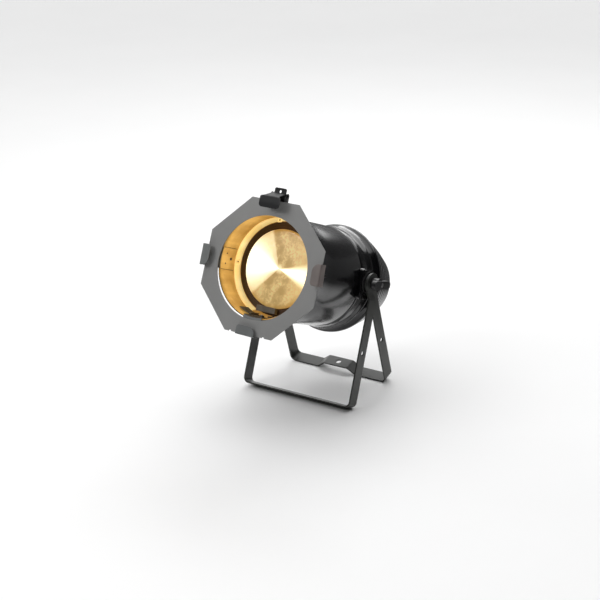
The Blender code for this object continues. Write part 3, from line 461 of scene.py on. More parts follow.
def roundedBox(halfA, halfB, radius, steps=8, centre=(0, 0)):
    points = []
    for quarter, (sideA, sideB) in enumerate(((1, 1), (-1, 1), (-1, -1), (1, -1))):
        for k in range(steps + 1):
            turn = pi / 2 * (quarter + k / steps)
            points.append((centre[0] + sideA * (halfA - radius) + radius * cos(turn),
                           centre[1] + sideB * (halfB - radius) + radius * sin(turn)))
    return points


def arc(steps, span=pi / 2):
    # even steps from 0 to the span, both ends included
    return [span * k / steps for k in range(steps + 1)]


def spin(turn, axis):
    return Matrix.Rotation(radians(turn), 4, axis)


def aboutBeam(turn):
    return spin(turn, "Y")


sides = dict(right=1, left=-1)

barrel = dict(
    outer=0.0975, inner=0.096, rim=0.2058, flare=0.002, mouth=0.0036, back=-0.03, beadFront=0.0165,
    beadBack=0.01, beadDepth=0.0011, flareStart=-0.008, crest=-0.026, crestRise=0.0028, slotHalf=0.0033,
    slotFront=0.1435, slotBack=0.0869)


def barrelOutline():
    out = barrel["outer"]
    rim, flare, mouth = barrel["rim"], barrel["flare"], barrel["mouth"]
    points = [(rim - mouth, barrel["inner"]), (rim - mouth / 2, barrel["inner"] + flare * 0.35)]
    points += [(rim, barrel["inner"] + flare), (rim, out + flare), (rim - mouth / 2, out + flare * 0.35)]
    points += [(rim - mouth, out), (0.12, out), (barrel["beadFront"], out)]
    for share in arc(10, 1)[1:-1]:
        s = barrel["beadFront"] + (barrel["beadBack"] - barrel["beadFront"]) * share
        points.append((s, out - barrel["beadDepth"] * sin(pi * share) ** 2))
    points += [(barrel["beadBack"], out), (0.001, out)]
    for share in arc(16, 1):
        s = barrel["flareStart"] + (barrel["crest"] - barrel["flareStart"]) * share
        points.append((s, out + barrel["crestRise"] * (0.5 - 0.5 * cos(pi * share))))
    points += [(-0.0278, out + 0.0025), (-0.0292, out + 0.0018), (barrel["back"], out + 0.0009)]
    points += [(barrel["back"], barrel["inner"])]
    return points


def makeBarrel():
    # black outside; inside, painted lamp light: a warm colour that glows
    made = onBarrel("barrelShell", turned(barrelOutline(), 192), ("body", "gold"))
    slot = loose(block((-barrel["slotHalf"], -barrel["slotFront"], -barrel["outer"] - 0.01),
                       (barrel["slotHalf"], -barrel["slotBack"], -barrel["inner"] + 0.01)), barrelMatrix)
    carved(made, [slot])
    for face in made.data.polygons:
        middle = face.center
        radial = Vector((middle.x, 0, middle.z))
        inside = face.normal.dot(radial) < 0 and radial.length < barrel["inner"] + barrel["flare"] + 0.0001
        face.material_index = 1 if inside else 0
    stamped(made, "barrel", "body_paint")


makeBarrel()

jointRing = dict(
    front=-0.008, sleeve=0.0957, step=-0.0303, start=0.0985, back=-0.0402, end=-0.052, top=0.1034,
    inside=0.0935)


def makeJointRing():
    r = jointRing
    points = [(r["front"], r["sleeve"]), (r["step"], r["sleeve"]), (r["step"], r["start"])]
    for share in arc(12, 1)[1:]:
        s = r["step"] + (r["back"] - r["step"]) * share
        points.append((s, r["start"] + (r["top"] - r["start"]) * (1 - cos(pi / 2 * share))))
    points += [(r["back"], r["start"]), (r["end"], r["start"])]
    points += [(r["end"], r["inside"]), (r["front"], r["inside"])]
    onBarrel("jointRing", turned(points, 192), "body", "joint_ring", "body_paint")


makeJointRing()

cap = dict(
    rim=-0.0405, back=-0.1556, radius=0.1063, slope=0.2224, curve=0.8805, ribs=6, ribStart=-0.056,
    ribLength=0.015, ribDepth=0.0013, grooveShare=0.13, wall=0.002, opening=0.06, corner=0.0062,
    rollS=-0.0458, rollR=0.1036, rollLong=0.005, rollHigh=0.0024,
    inside=(-0.1475, -0.135, -0.12, -0.1, -0.08, -0.06))


def domeRadius(s):
    behind = cap["rim"] - s
    return cap["radius"] - cap["slope"] * behind - cap["curve"] * behind * behind


def makeRearCap():
    points = [(cap["rim"], jointRing["top"])]
    for turn in arc(10, pi):        # rolled rim
        s = cap["rollS"] + cap["rollLong"] * cos(turn)
        points.append((s, cap["rollR"] + cap["rollHigh"] * sin(turn)))
    perRib = 12
    for k in range(cap["ribs"] * perRib):
        share = (k % perRib) / perRib
        s = cap["ribStart"] - cap["ribLength"] * k / perRib
        dip = cap["ribDepth"] * exp(-(min(share, 1 - share) / cap["grooveShare"]) ** 2)
        points.append((s, domeRadius(s) - dip))
    corner = cap["corner"]
    edge = domeRadius(cap["back"] + corner) - corner
    back, wall = cap["back"], cap["wall"]
    points += [(back + corner * (1 - sin(turn)), edge + corner * cos(turn)) for turn in arc(8)]
    points += [(back, cap["opening"]), (back + wall, cap["opening"]), (back + wall, edge)]
    # the inside, clear of the ribs' grooves
    points += [(s, domeRadius(s) - wall - 0.0015) for s in cap["inside"]]
    points.append((cap["rim"], 0.101))
    onBarrel("rearCap", turned(points, 192), "body", "rear_cap", "body_paint")


makeRearCap()
print("stage: shells turned")

gelFrame = dict(
    flats=0.25, hole=0.0966, thick=0.0015, front=0.2123, drop=0.0035, lean=-1.5,
    notches=(-0.0395, 0.0335), notch=0.0026)


def makeGelFrame():
    cornerR = gelFrame["flats"] / 2 / cos(pi / 8)
    corners = [(cornerR * sin(pi / 4 * (k + 0.5)), cornerR * cos(pi / 4 * (k + 0.5))) for k in range(8)]
    seat = barrelMatrix @ Matrix.Translation((0, -gelFrame["front"], -gelFrame["drop"]))
    seat = seat @ spin(gelFrame["lean"], "X")
    flat = extruded(corners, gelFrame["thick"], lambda a, b, c: Vector((a, c, b)))
    made = piece("colourFrame", flat, "frame", seat, "head", smooth=False)
    cutters = [loose(rod((0, -0.01, 0), (0, 0.01, 0), gelFrame["hole"], 160), seat)]
    foot = -gelFrame["flats"] / 2
    for spot in gelFrame["notches"]:
        cutters.append(loose(rod((spot, -0.01, foot), (spot, 0.01, foot), gelFrame["notch"], 20), seat))
    carved(made, cutters)
    stamped(made, "gel_frame", "frame_paint", bevel=0.00035, angle=30)


makeGelFrame()

clip = dict(
    thick=0.0012, half=0.02, flange=0.2061, front=0.223, outer=0.1306, tongue=0.0182, bend=0.0014,
    neck=0.104, corners=(0.014, 0.006), patchBack=0.164, screw=0.1975)
clipTurns = dict(left=-90, right=88.1, bottom=181.3)


def bentSheet(rows, columns=17):
    # rows of (s, distance from the axis, left and right edges, wall radius followed or 0)
    bm = bmesh.new()
    grid = []
    for s, reach, left, right, bow in rows:
        line = []
        for k in range(columns):
            side = left + (right - left) * k / (columns - 1)
            line.append(bm.verts.new((side, -s, sqrt(bow * bow - side * side) if bow else reach)))
        grid.append(line)
    for row, (first, second) in enumerate(zip(grid, grid[1:])):
        for k in range(columns - 1):
            face = bm.faces.new((first[k], first[k + 1], second[k + 1], second[k]))
            face.material_index = 1 if rows[row][4] and rows[row + 1][4] else 0
    return bm


def evenRow(s, reach, half, bow=0):
    return (s, reach, -half, half, bow)


def thickened(made, thickness):
    step = made.modifiers.new("thickness", "SOLIDIFY")
    step.thickness = thickness
    step.offset = 0
    step.use_even_offset = True


def patchRows(half):
    bow = barrel["inner"] - 0.0006 - clip["thick"] / 2
    middle = clip["flange"] + clip["thick"] / 2
    return [evenRow(s, 0, half, bow + lift) for s, lift in (
        (clip["patchBack"], 0), (0.18, 0), (0.2038, 0), (middle - 0.0004, 0.0002), (middle, 0.0008))]


def clipRows():
    middle = clip["flange"] + clip["thick"] / 2
    wall = clip["outer"] - clip["thick"] / 2
    front = clip["front"] - clip["thick"] / 2
    half, bend = clip["half"], clip["bend"]
    rows = patchRows(half) + [evenRow(middle, clip["neck"], half), evenRow(middle, wall - bend, half)]
    turns = arc(4)[1:-1]
    rows += [evenRow(middle + bend * (1 - cos(t)), wall - bend + bend * sin(t), half) for t in turns]
    rows += [evenRow(middle + bend, wall, half), evenRow(front - bend, wall, half)]
    rows += [evenRow(front - bend + bend * sin(t), wall - bend + bend * cos(t), half) for t in turns]
    end = clip["outer"] - clip["tongue"]
    rows += [evenRow(front, wall - bend, half)]
    for turn in arc(14):            # the tongue's two corners
        reach = end + clip["corners"][0] * (1 - sin(turn))
        edges = []
        for radius in clip["corners"]:
            rise = min(radius, reach - end)
            edges.append(half - radius + sqrt(max(0, radius * radius - (radius - rise) ** 2)))
        rows.append((front, reach, -edges[0], edges[1], 0))
    return rows


def makeClips():
    for name, turn in clipTurns.items():
        # the inner faces take the painted lamp light, except the bottom clip's
        inside = "patchDark" if name == "bottom" else "gold"
        made = piece(f"clip_{name}_sheet", bentSheet(clipRows()), (f"{name}Clip", inside),
                     barrelMatrix @ aboutBeam(turn), "head", f"clip_{name}", "clip_paint")
        thickened(made, clip["thick"])
        settle(made, False, 0.0002)


makeClips()

latch = dict(
    pinS=0.199, pinR=0.1332, earIn=0.0163, earOut=0.0177, pin=0.0014, pinHalf=0.0197, tangTop=0.0129,
    tangHole=0.0065, holeR=0.0026, reach=0.03, drop=0.0072, tabHalf=0.0221, flap=0.015, half=0.0127,
    bracket=0.018, bracketTop=0.1318, foot=-0.0274, ear=0.0045, earFoot=0.121, tangCorner=0.003,
    tabCorner=0.0065, knuckle=0.003, knuckleFrom=0.0045, knuckleTo=0.0155)
latchMatrix = axesMatrix(Vector(joints["latch_open"]["pos_m"]), -beam, headUp)


def makeLatchBracket():
    middle = clip["flange"] + clip["thick"] / 2
    rows = patchRows(latch["bracket"])
    rows += [evenRow(middle, reach, latch["bracket"]) for reach in (clip["neck"], latch["bracketTop"])]
    # the inner face takes the painted lamp light
    made = onBarrel("latchBracket", bentSheet(rows, 13), ("latch", "gold"))
    thickened(made, clip["thick"])
    pinS, ear, ears = latch["pinS"], latch["ear"], []
    for side in sides.values():
        outline = [(pinS - ear, latch["earFoot"])]
        outline += [(pinS - ear * cos(turn), latch["pinR"] + ear * sin(turn)) for turn in arc(12, pi)]
        outline += [(middle + 0.0002, latch["bracketTop"] - 0.001), (middle + 0.0002, latch["earFoot"])]
        low = min(side * latch["earIn"], side * latch["earOut"])
        depth = latch["earOut"] - latch["earIn"]
        ears.append(loose(extruded(outline, depth, lambda a, b, c: Vector((low + c, -a, b))), barrelMatrix))
    carved(made, ears, "UNION")
    stamped(made, "latch_bracket", "clip_paint", bevel=0.0002, bevelSteps=1)
    pin = crossRod(-latch["pinHalf"], latch["pinHalf"], latch["pin"], 24)
    piece("latchPin", pin, "darkSteel", latchMatrix, "head", "latch_pin", "zinc", bevel=0.0004)


def catchRows():
    top, half, tab, flap = latch["tangTop"], latch["half"], latch["tabHalf"], latch["flap"]
    reach, drop, foot = latch["reach"], latch["drop"], latch["foot"]
    corner = latch["tangCorner"]
    # rounded top of the tang
    rows = [evenRow(0, top - corner + corner * cos(t), half - corner + corner * sin(t)) for t in arc(5)]
    # bend at the hinge, slope of the flap, bend into the tab: how far forward, how high, half as wide
    rows += [evenRow(*row) for row in (
        (0, 0.0048, half), (0.0001, 0.004, half + 0.0006), (0.0005, 0.0034, flap - 0.0006),
        (0.0014, 0.0029, flap), (reach - 0.007, 0.0033 - drop, flap),
        (reach - 0.0032, 0.0016 - drop, flap + 0.002), (reach - 0.0012, 0.0004 - drop, tab - 0.0012),
        (reach, -drop - 0.0018, tab), (reach, foot + latch["tabCorner"], tab))]
    corner = latch["tabCorner"]
    # rounded foot of the tab
    rows += [evenRow(reach, foot + corner * (1 - sin(t)), tab - corner * (1 - cos(t))) for t in arc(8)[1:]]
    return rows


def makeLatchCatch():
    made = piece("latchCatch", bentSheet(catchRows(), 13), "latch", latchMatrix, "latch")
    thickened(made, clip["thick"])
    hole = rod((0, 0.01, latch["tangHole"]), (0, -0.01, latch["tangHole"]), latch["holeR"], 32)
    carved(made, [loose(hole, latchMatrix)])
    knuckles = []
    for side in sides.values():
        knuckle = crossRod(latch["knuckleFrom"], latch["knuckleTo"], latch["knuckle"], side=side)
        knuckles.append(loose(knuckle, latchMatrix))
    carved(made, knuckles, "UNION")
    stamped(made, "latch_catch", "clip_paint", bevel=0.0002, bevelSteps=1)


def coil(turns, length, radius, wire, perTurn=36, around=10):
    bm = bmesh.new()
    rings = []
    total = int(turns * perTurn)
    for k in range(total + 1):
        turn = 2 * pi * k / perTurn
        middle = length * (k / total - 0.5)
        ring = []
        for j in range(around):
            roll = 2 * pi * j / around
            r = radius + wire * cos(roll)
            ring.append(bm.verts.new((middle + wire * sin(roll), r * cos(turn), r * sin(turn))))
        rings.append(ring)
    for first, second in zip(rings, rings[1:]):
        stitch(bm, first, second)
    bm.faces.new(rings[0])
    bm.faces.new(rings[-1])
    return bm


makeLatchBracket()
makeLatchCatch()
piece("latchSpring", coil(7, 0.007, 0.002, 0.0004), "zinc", latchMatrix, "head", "latch_spring", "zinc")
print("stage: colour frame, clips and latch bent")

ring = dict(
    wallR=0.0956, topS=0.16, edgeS=0.159, footS=0.1465, footR=0.0906, inR=0.0896, gap=24, screwS=0.152,
    lug=0.0042, lugThick=0.0012, lugSlope=-26, lugR=0.0908, lugHole=0.0016)
ringTurns = dict(left=-91.5, right=87.5, top=-11)


def makeRetainingRing():
    points = [(ring["topS"], ring["wallR"]), (ring["edgeS"], ring["wallR"]), (ring["footS"], ring["footR"]),
              (ring["footS"] + 0.0007, ring["inR"]), (ring["topS"], ring["wallR"] - 0.0012)]
    reach = pi - radians(ring["gap"])
    band = turned(points, 150, -reach, reach)
    lugs = []
    for name, turn in ringTurns.items():
        outline = roundedBox(ring["lug"], ring["lug"], 0.0008, 4)
        lug = extruded(outline, ring["lugThick"], lambda a, b, c: Vector((a, c, b)))
        slope = spin(ring["lugSlope"], "X")
        place = aboutBeam(turn) @ Matrix.Translation((0, -ring["screwS"] - 0.0035, ring["lugR"])) @ slope
        bmesh.ops.transform(lug, matrix=place, verts=lug.verts)
        lugs.append(lug)
        hole = rod((0, -0.0003, 0), (0, 0.0006, 0), ring["lugHole"], 20)
        bmesh.ops.transform(hole, matrix=place, verts=hole.verts)
        onBarrel(f"lugHole_{name}", hole, "brown", slot="zinc")
    # the ring's finish is painted lamp light, warm and glowing
    onBarrel("retainingRing", joined(band, *lugs), "ring", "retaining_ring", "gold")


makeRetainingRing()

lens = dict(
    front=0.1522, radius=0.0744, edge=0.004, dome=0.0016, cutR=0.0695, grooves=54, grooveDepth=0.00009)


def makeLens():
    # a shallow dome cut with fine rings, and a plain rim
    front, back = lens["front"], lens["front"] - lens["edge"]
    points = [(front + lens["dome"], 0)]
    for k in range(lens["grooves"] * 2):
        r = lens["cutR"] * (k + 1) / (lens["grooves"] * 2)
        s = front + lens["dome"] * (1 - (r / lens["cutR"]) ** 2) - (lens["grooveDepth"] if k % 2 else 0)
        points.append((s, r))
    points += [(front - 0.0002, 0.07), (front - 0.0003, 0.0725), (front - 0.0008, 0.0735)]
    points += [(front - 0.0014, lens["radius"]), (back, lens["radius"]), (back, 0)]
    piece("frontLens", turned(points), "glass", barrelMatrix, "zoom", "lens", "lens_glass", angle=60)


carrier = dict(
    gap=0.0003, outer=0.0885, inner=0.066, groove=(0.079, 0.0864), grooveDepth=0.0008, wall=0.002,
    face=0.003, length=0.014)
zoomBlock = dict(face=0.158, low=-0.0841, step=-0.0731, high=-0.0755, left=-0.03, width=0.042)


def makeCarrier():
    front = lens["front"] - lens["edge"] - carrier["gap"]
    outer, inner = carrier["outer"], carrier["inner"]
    (near, far), sunk = carrier["groove"], front - carrier["grooveDepth"]
    wall, face, end = outer - carrier["wall"], front - carrier["face"], front - carrier["length"]
    points = [(front, inner), (front, near), (sunk, near + 0.0006), (sunk, far - 0.0006), (front, far),
              (front, outer - 0.0004), (front - 0.0004, outer), (end, outer), (end, wall), (face, wall),
              (face, inner)]
    piece("lensCarrier", turned(points), "brown", barrelMatrix, "zoom", "lens_carrier", "inner_black")


def makeZoomBlock():
    b = zoomBlock
    back, step = lens["front"] - lens["edge"], lens["front"] + 0.0004
    outline = [(back, b["low"]), (b["face"], b["low"]), (b["face"], b["step"]), (step, b["step"]),
               (step, b["high"]), (back, b["high"])]
    body = extruded(outline, b["width"], lambda s, u, x: Vector((b["left"] + x, -s, u)))
    piece("zoomBlock", body, "blockPaint", barrelMatrix, "zoom", "zoom_block", "inner_black", bevel=0.0006)


makeLens()
makeCarrier()
makeZoomBlock()

zoomScrew = dict(low=-0.123, head=0.012, radius=0.007, knurls=24, shank=0.0024, top=-0.0888)


def makeZoomScrew():
    along = (barrelMatrix.inverted() @ Vector(joints["zoom_screw_turn"]["pos_m"])).y
    place = axesMatrix(barrelMatrix @ Vector((0, along, 0)), -beam, headUp)
    outline = []
    for k in range(zoomScrew["knurls"] * 2):
        turn = pi * k / zoomScrew["knurls"]
        r = zoomScrew["radius"] - (0.0005 if k % 2 else 0)
        outline.append((r * cos(turn), r * sin(turn)))
    head = extruded(outline, zoomScrew["head"], lambda a, b, c: Vector((a, b, zoomScrew["low"] + c)))
    shank = rod((0, 0, zoomScrew["low"] + 0.01), (0, 0, zoomScrew["top"]), zoomScrew["shank"], 32)
    node = "zoom_screw"
    piece("zoomThumbScrew", joined(head, shank), "plastic", place, node, node, "black_plastic", bevel=0.0002)


makeZoomScrew()
print("stage: optics set")


def panHead(radius, height):
    # dome drawn on its own axis: -y points out of the head
    dome = [(height * sin(turn), radius * (0.35 + 0.65 * cos(turn))) for turn in arc(8)]
    return [(0.0, radius)] + dome + [(height, 0), (0, 0)]


def makeScrew(name, place, node=None, radius=0.0038, height=0.0022):
    made = piece(name, turned(panHead(radius, height), 32), "darkSteel", place, "head")
    cutters = []
    for turn in (20, 110):
        long, wide = radius * 0.62, radius * 0.13
        bar = block((-long, -height * 2, -wide), (long, -height * 0.45, wide))
        cutters.append(loose(bar, place @ aboutBeam(turn)))
    carved(made, cutters)
    stamped(made, node, "zinc")


def outwards(turn, s, r):
    # frame on the barrel's wall whose -y axis points away from the barrel's axis
    tip = spin(90, "X").inverted()
    return barrelMatrix @ aboutBeam(turn) @ Matrix.Translation((0, -s, r)) @ tip


patch = dict(
    r=barrel["inner"] - 0.0018, holeS=0.1765, hole=0.0026, rivetS=0.192, rivet=0.0016, spread=0.0095)


def makeWallScrews():
    seat = barrel["outer"] + 0.0002
    for name, turn in {**clipTurns, "top": 0}.items():
        makeScrew(f"clipScrew_{name}", outwards(turn, clip["screw"], seat), f"clip_screw_{name}")
        hole = rod((0, 0, 0), (0, 0.001, 0), patch["hole"], 24)
        place = outwards(turn, patch["holeS"], patch["r"])
        piece(f"patchHole_{name}", hole, "brown", place, "head", slot="zinc")
        for side in (-1, 1):
            spread = degrees(side * patch["spread"] / patch["r"])
            place = outwards(turn + spread, patch["rivetS"], patch["r"]) @ spin(180, "X")
            rivet = turned(panHead(patch["rivet"], 0.0007), 20)
            piece(f"patchRivet_{name}_{side + 1}", rivet, "brown", place, "head", slot="zinc")
    for name, turn in ringTurns.items():
        makeScrew(f"ringScrew_{name}", outwards(turn, ring["screwS"], seat), f"ring_screw_{name}")


makeWallScrews()

seam = dict(half=0.0203, thick=0.0003, low=0.092, high=0.0934, back=0.164, front=0.204)
slotPlate = dict(
    half=0.046, bow=0.0936, back=0.1605, front=0.19, thick=0.0008, nutS=0.179, nutR=0.0046, nut=0.0032,
    studR=0.0021, stud=0.0046, ribX=0.02, ribHalf=0.0012, rib=(0.005, 0.0026))


def makeMouthDetails():
    # dark joints round the two side patches, and the zoom slot's cover at the bottom
    for name in ("left", "right"):
        thick, low, high = seam["thick"], seam["low"], seam["high"]
        lines = [block((x - thick, -seam["front"], low), (x + thick, -seam["back"], high))
                 for x in (-seam["half"], seam["half"])]
        place = barrelMatrix @ aboutBeam(clipTurns[name])
        piece(f"patchSeam_{name}", joined(*lines), "brown", place, "head", slot="gold")
    plate = slotPlate
    back, front = plate["back"], plate["front"]
    rows = [evenRow(s, 0, plate["half"], plate["bow"]) for s in (back, 0.5 * (back + front), front)]
    place = barrelMatrix @ aboutBeam(180)
    cover = piece("slotCover", bentSheet(rows), ["patchDark"] * 2, place, "head", slot="inner_black")
    thickened(cover, plate["thick"])
    settle(cover, False, 0.0002, 1)
    s, r = plate["nutS"], plate["bow"] - 0.0005
    for side in (-1, 1):
        x = side * plate["ribX"]
        rib = block((x - plate["ribHalf"], -front, r - plate["rib"][0]),
                    (x + plate["ribHalf"], -back, r - plate["rib"][1]))
        piece(f"slotRib{side + 1}", rib, "blockPaint", place, "head", slot="inner_black", bevel=0.0003)
    nut = rod((0, -s, r), (0, -s, r - plate["nut"]), plate["nutR"], 6)
    piece("slotNut", nut, "darkSteel", place, "head", slot="zinc", bevel=0.0003)
    stud = rod((0, -s, r), (0, -s, r - plate["stud"]), plate["studR"], 24)
    piece("slotStud", stud, "zinc", place, "head", slot="zinc", bevel=0.0004)


makeMouthDetails()

bracket = dict(
    inX=0.085, outX=0.1037, centre=(0.004, -0.0048), halves=(0.018, 0.0293), corner=0.006, screw=0.0035,
    screws=dict(upper=(0.0156, 0.0199), lower=(0.006, -0.0296)))


def makeSideBrackets():
    start, end = bracket["inX"], bracket["outX"]
    outline = roundedBox(*bracket["halves"], bracket["corner"], 8, bracket["centre"])
    for name, side in sides.items():
        blank = extruded(outline, end - start, lambda s, u, x: Vector((side * (start + x), -s, u)))
        made = piece(f"sideBracket_{name}", blank, "body", headMatrix, "head")
        wall = rod((0, 0.05, 0), (0, -0.05, 0), barrel["outer"] + 0.0009, 160)
        carved(made, [loose(wall, barrelMatrix)])
        stamped(made, f"side_bracket_{name}", "body_paint", bevel=0.0008, bevelSteps=3)
        tip = spin(side * 90, "Z")
        for tag, (s, u) in bracket["screws"].items():
            place = headMatrix @ Matrix.Translation((side * (end + 0.0003), -s, u)) @ tip
            makeScrew(f"bracketScrew_{tag}_{name}", place, f"bracket_screw_{tag}_{name}", bracket["screw"])


makeSideBrackets()

stack = dict(
    disc=(0.104, 0.1065, 0.0205), spacer=(0.1068, 0.10915, 0.015), edge=0.0004, bore=0.0044,
    stud=(0.104, 0.134, 0.004))


def makeStack():
    for name, side in sides.items():
        place = headMatrix @ spin(side * 90, "Z")
        for part, node, finish, slot in (("disc", "friction_disc", "rubber", "rubber"),
                                         ("spacer", "spacer", "darkSteel", "zinc")):
            low, high, r = stack[part]
            edge, bore = stack["edge"], stack["bore"]
            profile = [(low, bore), (low, r - edge), (low + edge, r)]
            profile += [(high - edge, r), (high, r - edge), (high, bore)]
            piece(f"{part}_{name}", turned(profile, 64), finish, place, "head", f"{node}_{name}", slot)
        stud = crossRod(*stack["stud"], side=side)
        piece(f"pivotStud_{name}", stud, "zinc", headMatrix, "head", f"pivot_stud_{name}", "zinc",
              bevel=stack["edge"])


makeStack()

knob = dict(
    inX=0.1161, wingIn=0.129, wingOut=0.138, hub=0.0115, halfLong=0.029, halfTall=0.008, corner=0.0078,
    lean=-18, bore=0.0044, boreEnd=0.135, dish=0.005, dishDepth=0.0012, cap=(0.1355, 0.1378, 0.0042))


def makeKnobs():
    wingIn, wingOut = knob["wingIn"], knob["wingOut"]
    outline = roundedBox(knob["halfLong"], knob["halfTall"], knob["corner"], 12)
    place = Matrix.Translation(pivot) @ spin(knob["lean"], "X")
    for name, side in sides.items():
        wing = extruded(outline, wingOut - wingIn, lambda a, b, c: Vector((side * (wingIn + c), a, b)))
        made = piece(f"knobWing_{name}", wing, "plastic", place, f"knob_{name}")
        hub = crossRod(knob["inX"], wingIn + 0.002, knob["hub"], 64, side)
        carved(made, [loose(hub, place)], "UNION")
        bore = crossRod(0.1, knob["boreEnd"], knob["bore"], side=side)
        dish = crossRod(wingOut - knob["dishDepth"], 0.15, knob["dish"], 48, side)
        carved(made, [loose(bore, place), loose(dish, place)])
        stamped(made, f"knob_{name}", "black_plastic", bevel=0.0016, bevelSteps=3, angle=40)
        piece(f"knobCap_{name}", crossRod(*knob["cap"], side=side), "zinc", place, f"knob_{name}",
              slot="zinc", bevel=0.0008, bevelSteps=3)


makeKnobs()
print("stage: pivot hardware fitted")

strip = dict(
    width=0.0257, thick=0.003, bend=0.012, smallBend=0.0045, plateBend=0.006, bore=0.0044, legHole=0.0045,
    top=-0.004)
frontYoke = dict(out=0.1229, earOut=0.1158, earR=0.02, joggle=(-0.0205, -0.0305), leg=0.2418, hole=-0.134)
rearYoke = dict(
    out=0.11245, earOut=0.11245, earR=0.018, leg=0.23484, rise=0.012, middle=-0.003, flat=0.027,
    ramp=0.043, hole=-0.136, hangHole=0.0055)


def roundedPath(path, steps=10):
    # each inner corner is (x, z, bend radius)
    points = [Vector(path[0][:2])]
    for before, (x, z, radius), after in zip(path, path[1:], path[2:]):
        corner = Vector((x, z))
        spanBefore, spanAfter = Vector(before[:2]) - corner, Vector(after[:2]) - corner
        toBefore, toAfter = spanBefore.normalized(), spanAfter.normalized()
        half = acos(max(-1.0, min(1.0, toBefore.dot(toAfter)))) / 2
        size = min(radius, 0.45 * spanBefore.length * tan(half), 0.45 * spanAfter.length * tan(half))
        centre = corner + (toBefore + toAfter).normalized() * size / sin(half)
        arm = corner + toBefore * size / tan(half) - centre
        swing = pi - 2 * half
        if arm.y * toBefore.x - arm.x * toBefore.y < 0:
            swing = -swing
        points += [centre + Matrix.Rotation(swing * k / steps, 2) @ arm for k in range(steps + 1)]
    return points + [Vector(path[-1][:2])]


def stripOutline(path, thickness):
    outer = roundedPath(path)
    inner = []
    for k, point in enumerate(outer):
        first = (point - outer[k - 1]).normalized() if k else (outer[1] - point).normalized()
        second = (outer[k + 1] - point).normalized() if k < len(outer) - 1 else first
        normal = Vector((-first.y - second.y, first.x + second.x)).normalized()
        inner.append(point + normal * thickness / normal.dot(Vector((-second.y, second.x))))
    return [tuple(p) for p in outer] + [tuple(p) for p in reversed(inner)]


def makeYoke(name, place, node, path, yoke, holes):
    half = strip["width"] / 2
    outline = stripOutline(path, strip["thick"])
    blank = extruded(outline, strip["width"], lambda x, u, s: Vector((x, s - half, u)))
    made = piece(name, blank, "yoke", place, node)
    inset = 0.00004                 # keeps the ears' faces off the strip's
    low, high = yoke["earOut"] - strip["thick"] + inset, yoke["earOut"] - inset
    ears = [loose(crossRod(low, high, yoke["earR"], 64, side), place) for side in sides.values()]
    carved(made, ears, "UNION")
    for u, r in ((yoke["hole"], strip["legHole"]), (0, strip["bore"])):
        holes = holes + [((side * 0.1, 0, u), (side * 0.13, 0, u), r) for side in sides.values()]
    carved(made, [loose(rod(start, end, r, 40), place) for start, end, r in holes])
    stamped(made, node, "yoke_paint", bevel=0.0007, bevelSteps=3, angle=30)


def makeYokes():
    y = frontYoke
    small, large, slight = strip["smallBend"], strip["bend"], strip["plateBend"]
    half = [(y["earOut"], strip["top"], 0), (y["earOut"], y["joggle"][0], small),
            (y["out"], y["joggle"][1], small), (y["out"], -y["leg"], large)]
    path = [(-x, z, bend) for x, z, bend in half] + list(reversed(half))
    makeYoke("frontYoke", frontMatrix, "front_yoke", path, y, [])
    y = rearYoke
    foot, top, middle = -y["leg"], -y["leg"] + y["rise"], y["middle"]
    path = [(-y["out"], strip["top"], 0), (-y["out"], foot, large), (middle - y["ramp"], foot, slight),
            (middle - y["flat"], top, slight), (middle + y["flat"], top, slight),
            (middle + y["ramp"], foot, slight), (y["out"], foot, large), (y["out"], strip["top"], 0)]
    hanging = ((middle, 0, top - 0.01), (middle, 0, top + 0.01), y["hangHole"])
    makeYoke("rearYoke", rearMatrix, "rear_yoke", path, y, [hanging])


makeYokes()
print("stage: yokes bent")

# CAD pieces whose plain shape is right keep it and take a finish
keptNodes = dict(
    board="led_board", phosphor="led_chip", window="display_window", panel="control_panel",
    aluminium="chassis_plate heat_sink fan_bracket power_supply",
    plastic="fan_frame fan_rotor power_inlet data_in_socket data_out_socket",
    button="button_menu button_down button_up button_enter")
for finish, nodes in keptNodes.items():
    for node in nodes.split():
        materials = frame["nodes"][node].data.materials
        materials.clear()
        materials.append(finishes[finish])
print("stage: kept nodes finished")

rearPanel = dict(
    back=-0.1579, screwR=0.0575, screw=(0.0028, 0.0015), window=(0.029, 0.0123), windowU=0.0345,
    bezel=0.0026, proud=0.0009, collar=(-0.1597, -0.1589), recess=-0.1469, pinEnd=-0.154)
socket = dict(
    spots=dict(left=(-0.036, -0.012), right=(0.036, -0.012)), outer=0.0122, inner=0.0086, pinRing=0.0036,
    pin=0.0009)
inlet = dict(
    centre=(0, -0.033), outer=(0.015, 0.011), inner=(0.0114, 0.0074), bladeHalf=(0.0008, 0.0017),
    blades=((0, -0.03), (-0.0055, -0.0345), (0.0055, -0.0345)))


def openFrame(outer, inner, low, high):
    # a flat ring between two outlines of the same length, from s = low to s = high
    bm = bmesh.new()
    rings = [[bm.verts.new((a, -s, b)) for a, b in outline]
             for outline, s in ((outer, low), (outer, high), (inner, high), (inner, low))]
    for first, second in zip(rings, rings[1:] + rings[:1]):
        stitch(bm, first, second)
    return bm


def makeWindowBezel():
    back, edge, middle = rearPanel["back"], rearPanel["bezel"], (0, rearPanel["windowU"])
    halfX, halfU = rearPanel["window"]
    inner = roundedBox(halfX - edge, halfU - edge, 0.001, 8, middle)
    bezel = openFrame(roundedBox(halfX, halfU, 0.003, 8, middle), inner, back - rearPanel["proud"], back)
    onBarrel("windowBezel", bezel, "plastic", slot="black_plastic", bevel=0.0003)


def makePanelScrews():
    for k in range(4):
        turn, r = radians(45 + 90 * k), rearPanel["screwR"]
        spot = Vector((r * cos(turn), -rearPanel["back"] + 0.0001, r * sin(turn)))
        place = barrelMatrix @ Matrix.Translation(spot) @ spin(180, "Z")
        makeScrew(f"panelScrew{k}", place, None, *rearPanel["screw"])


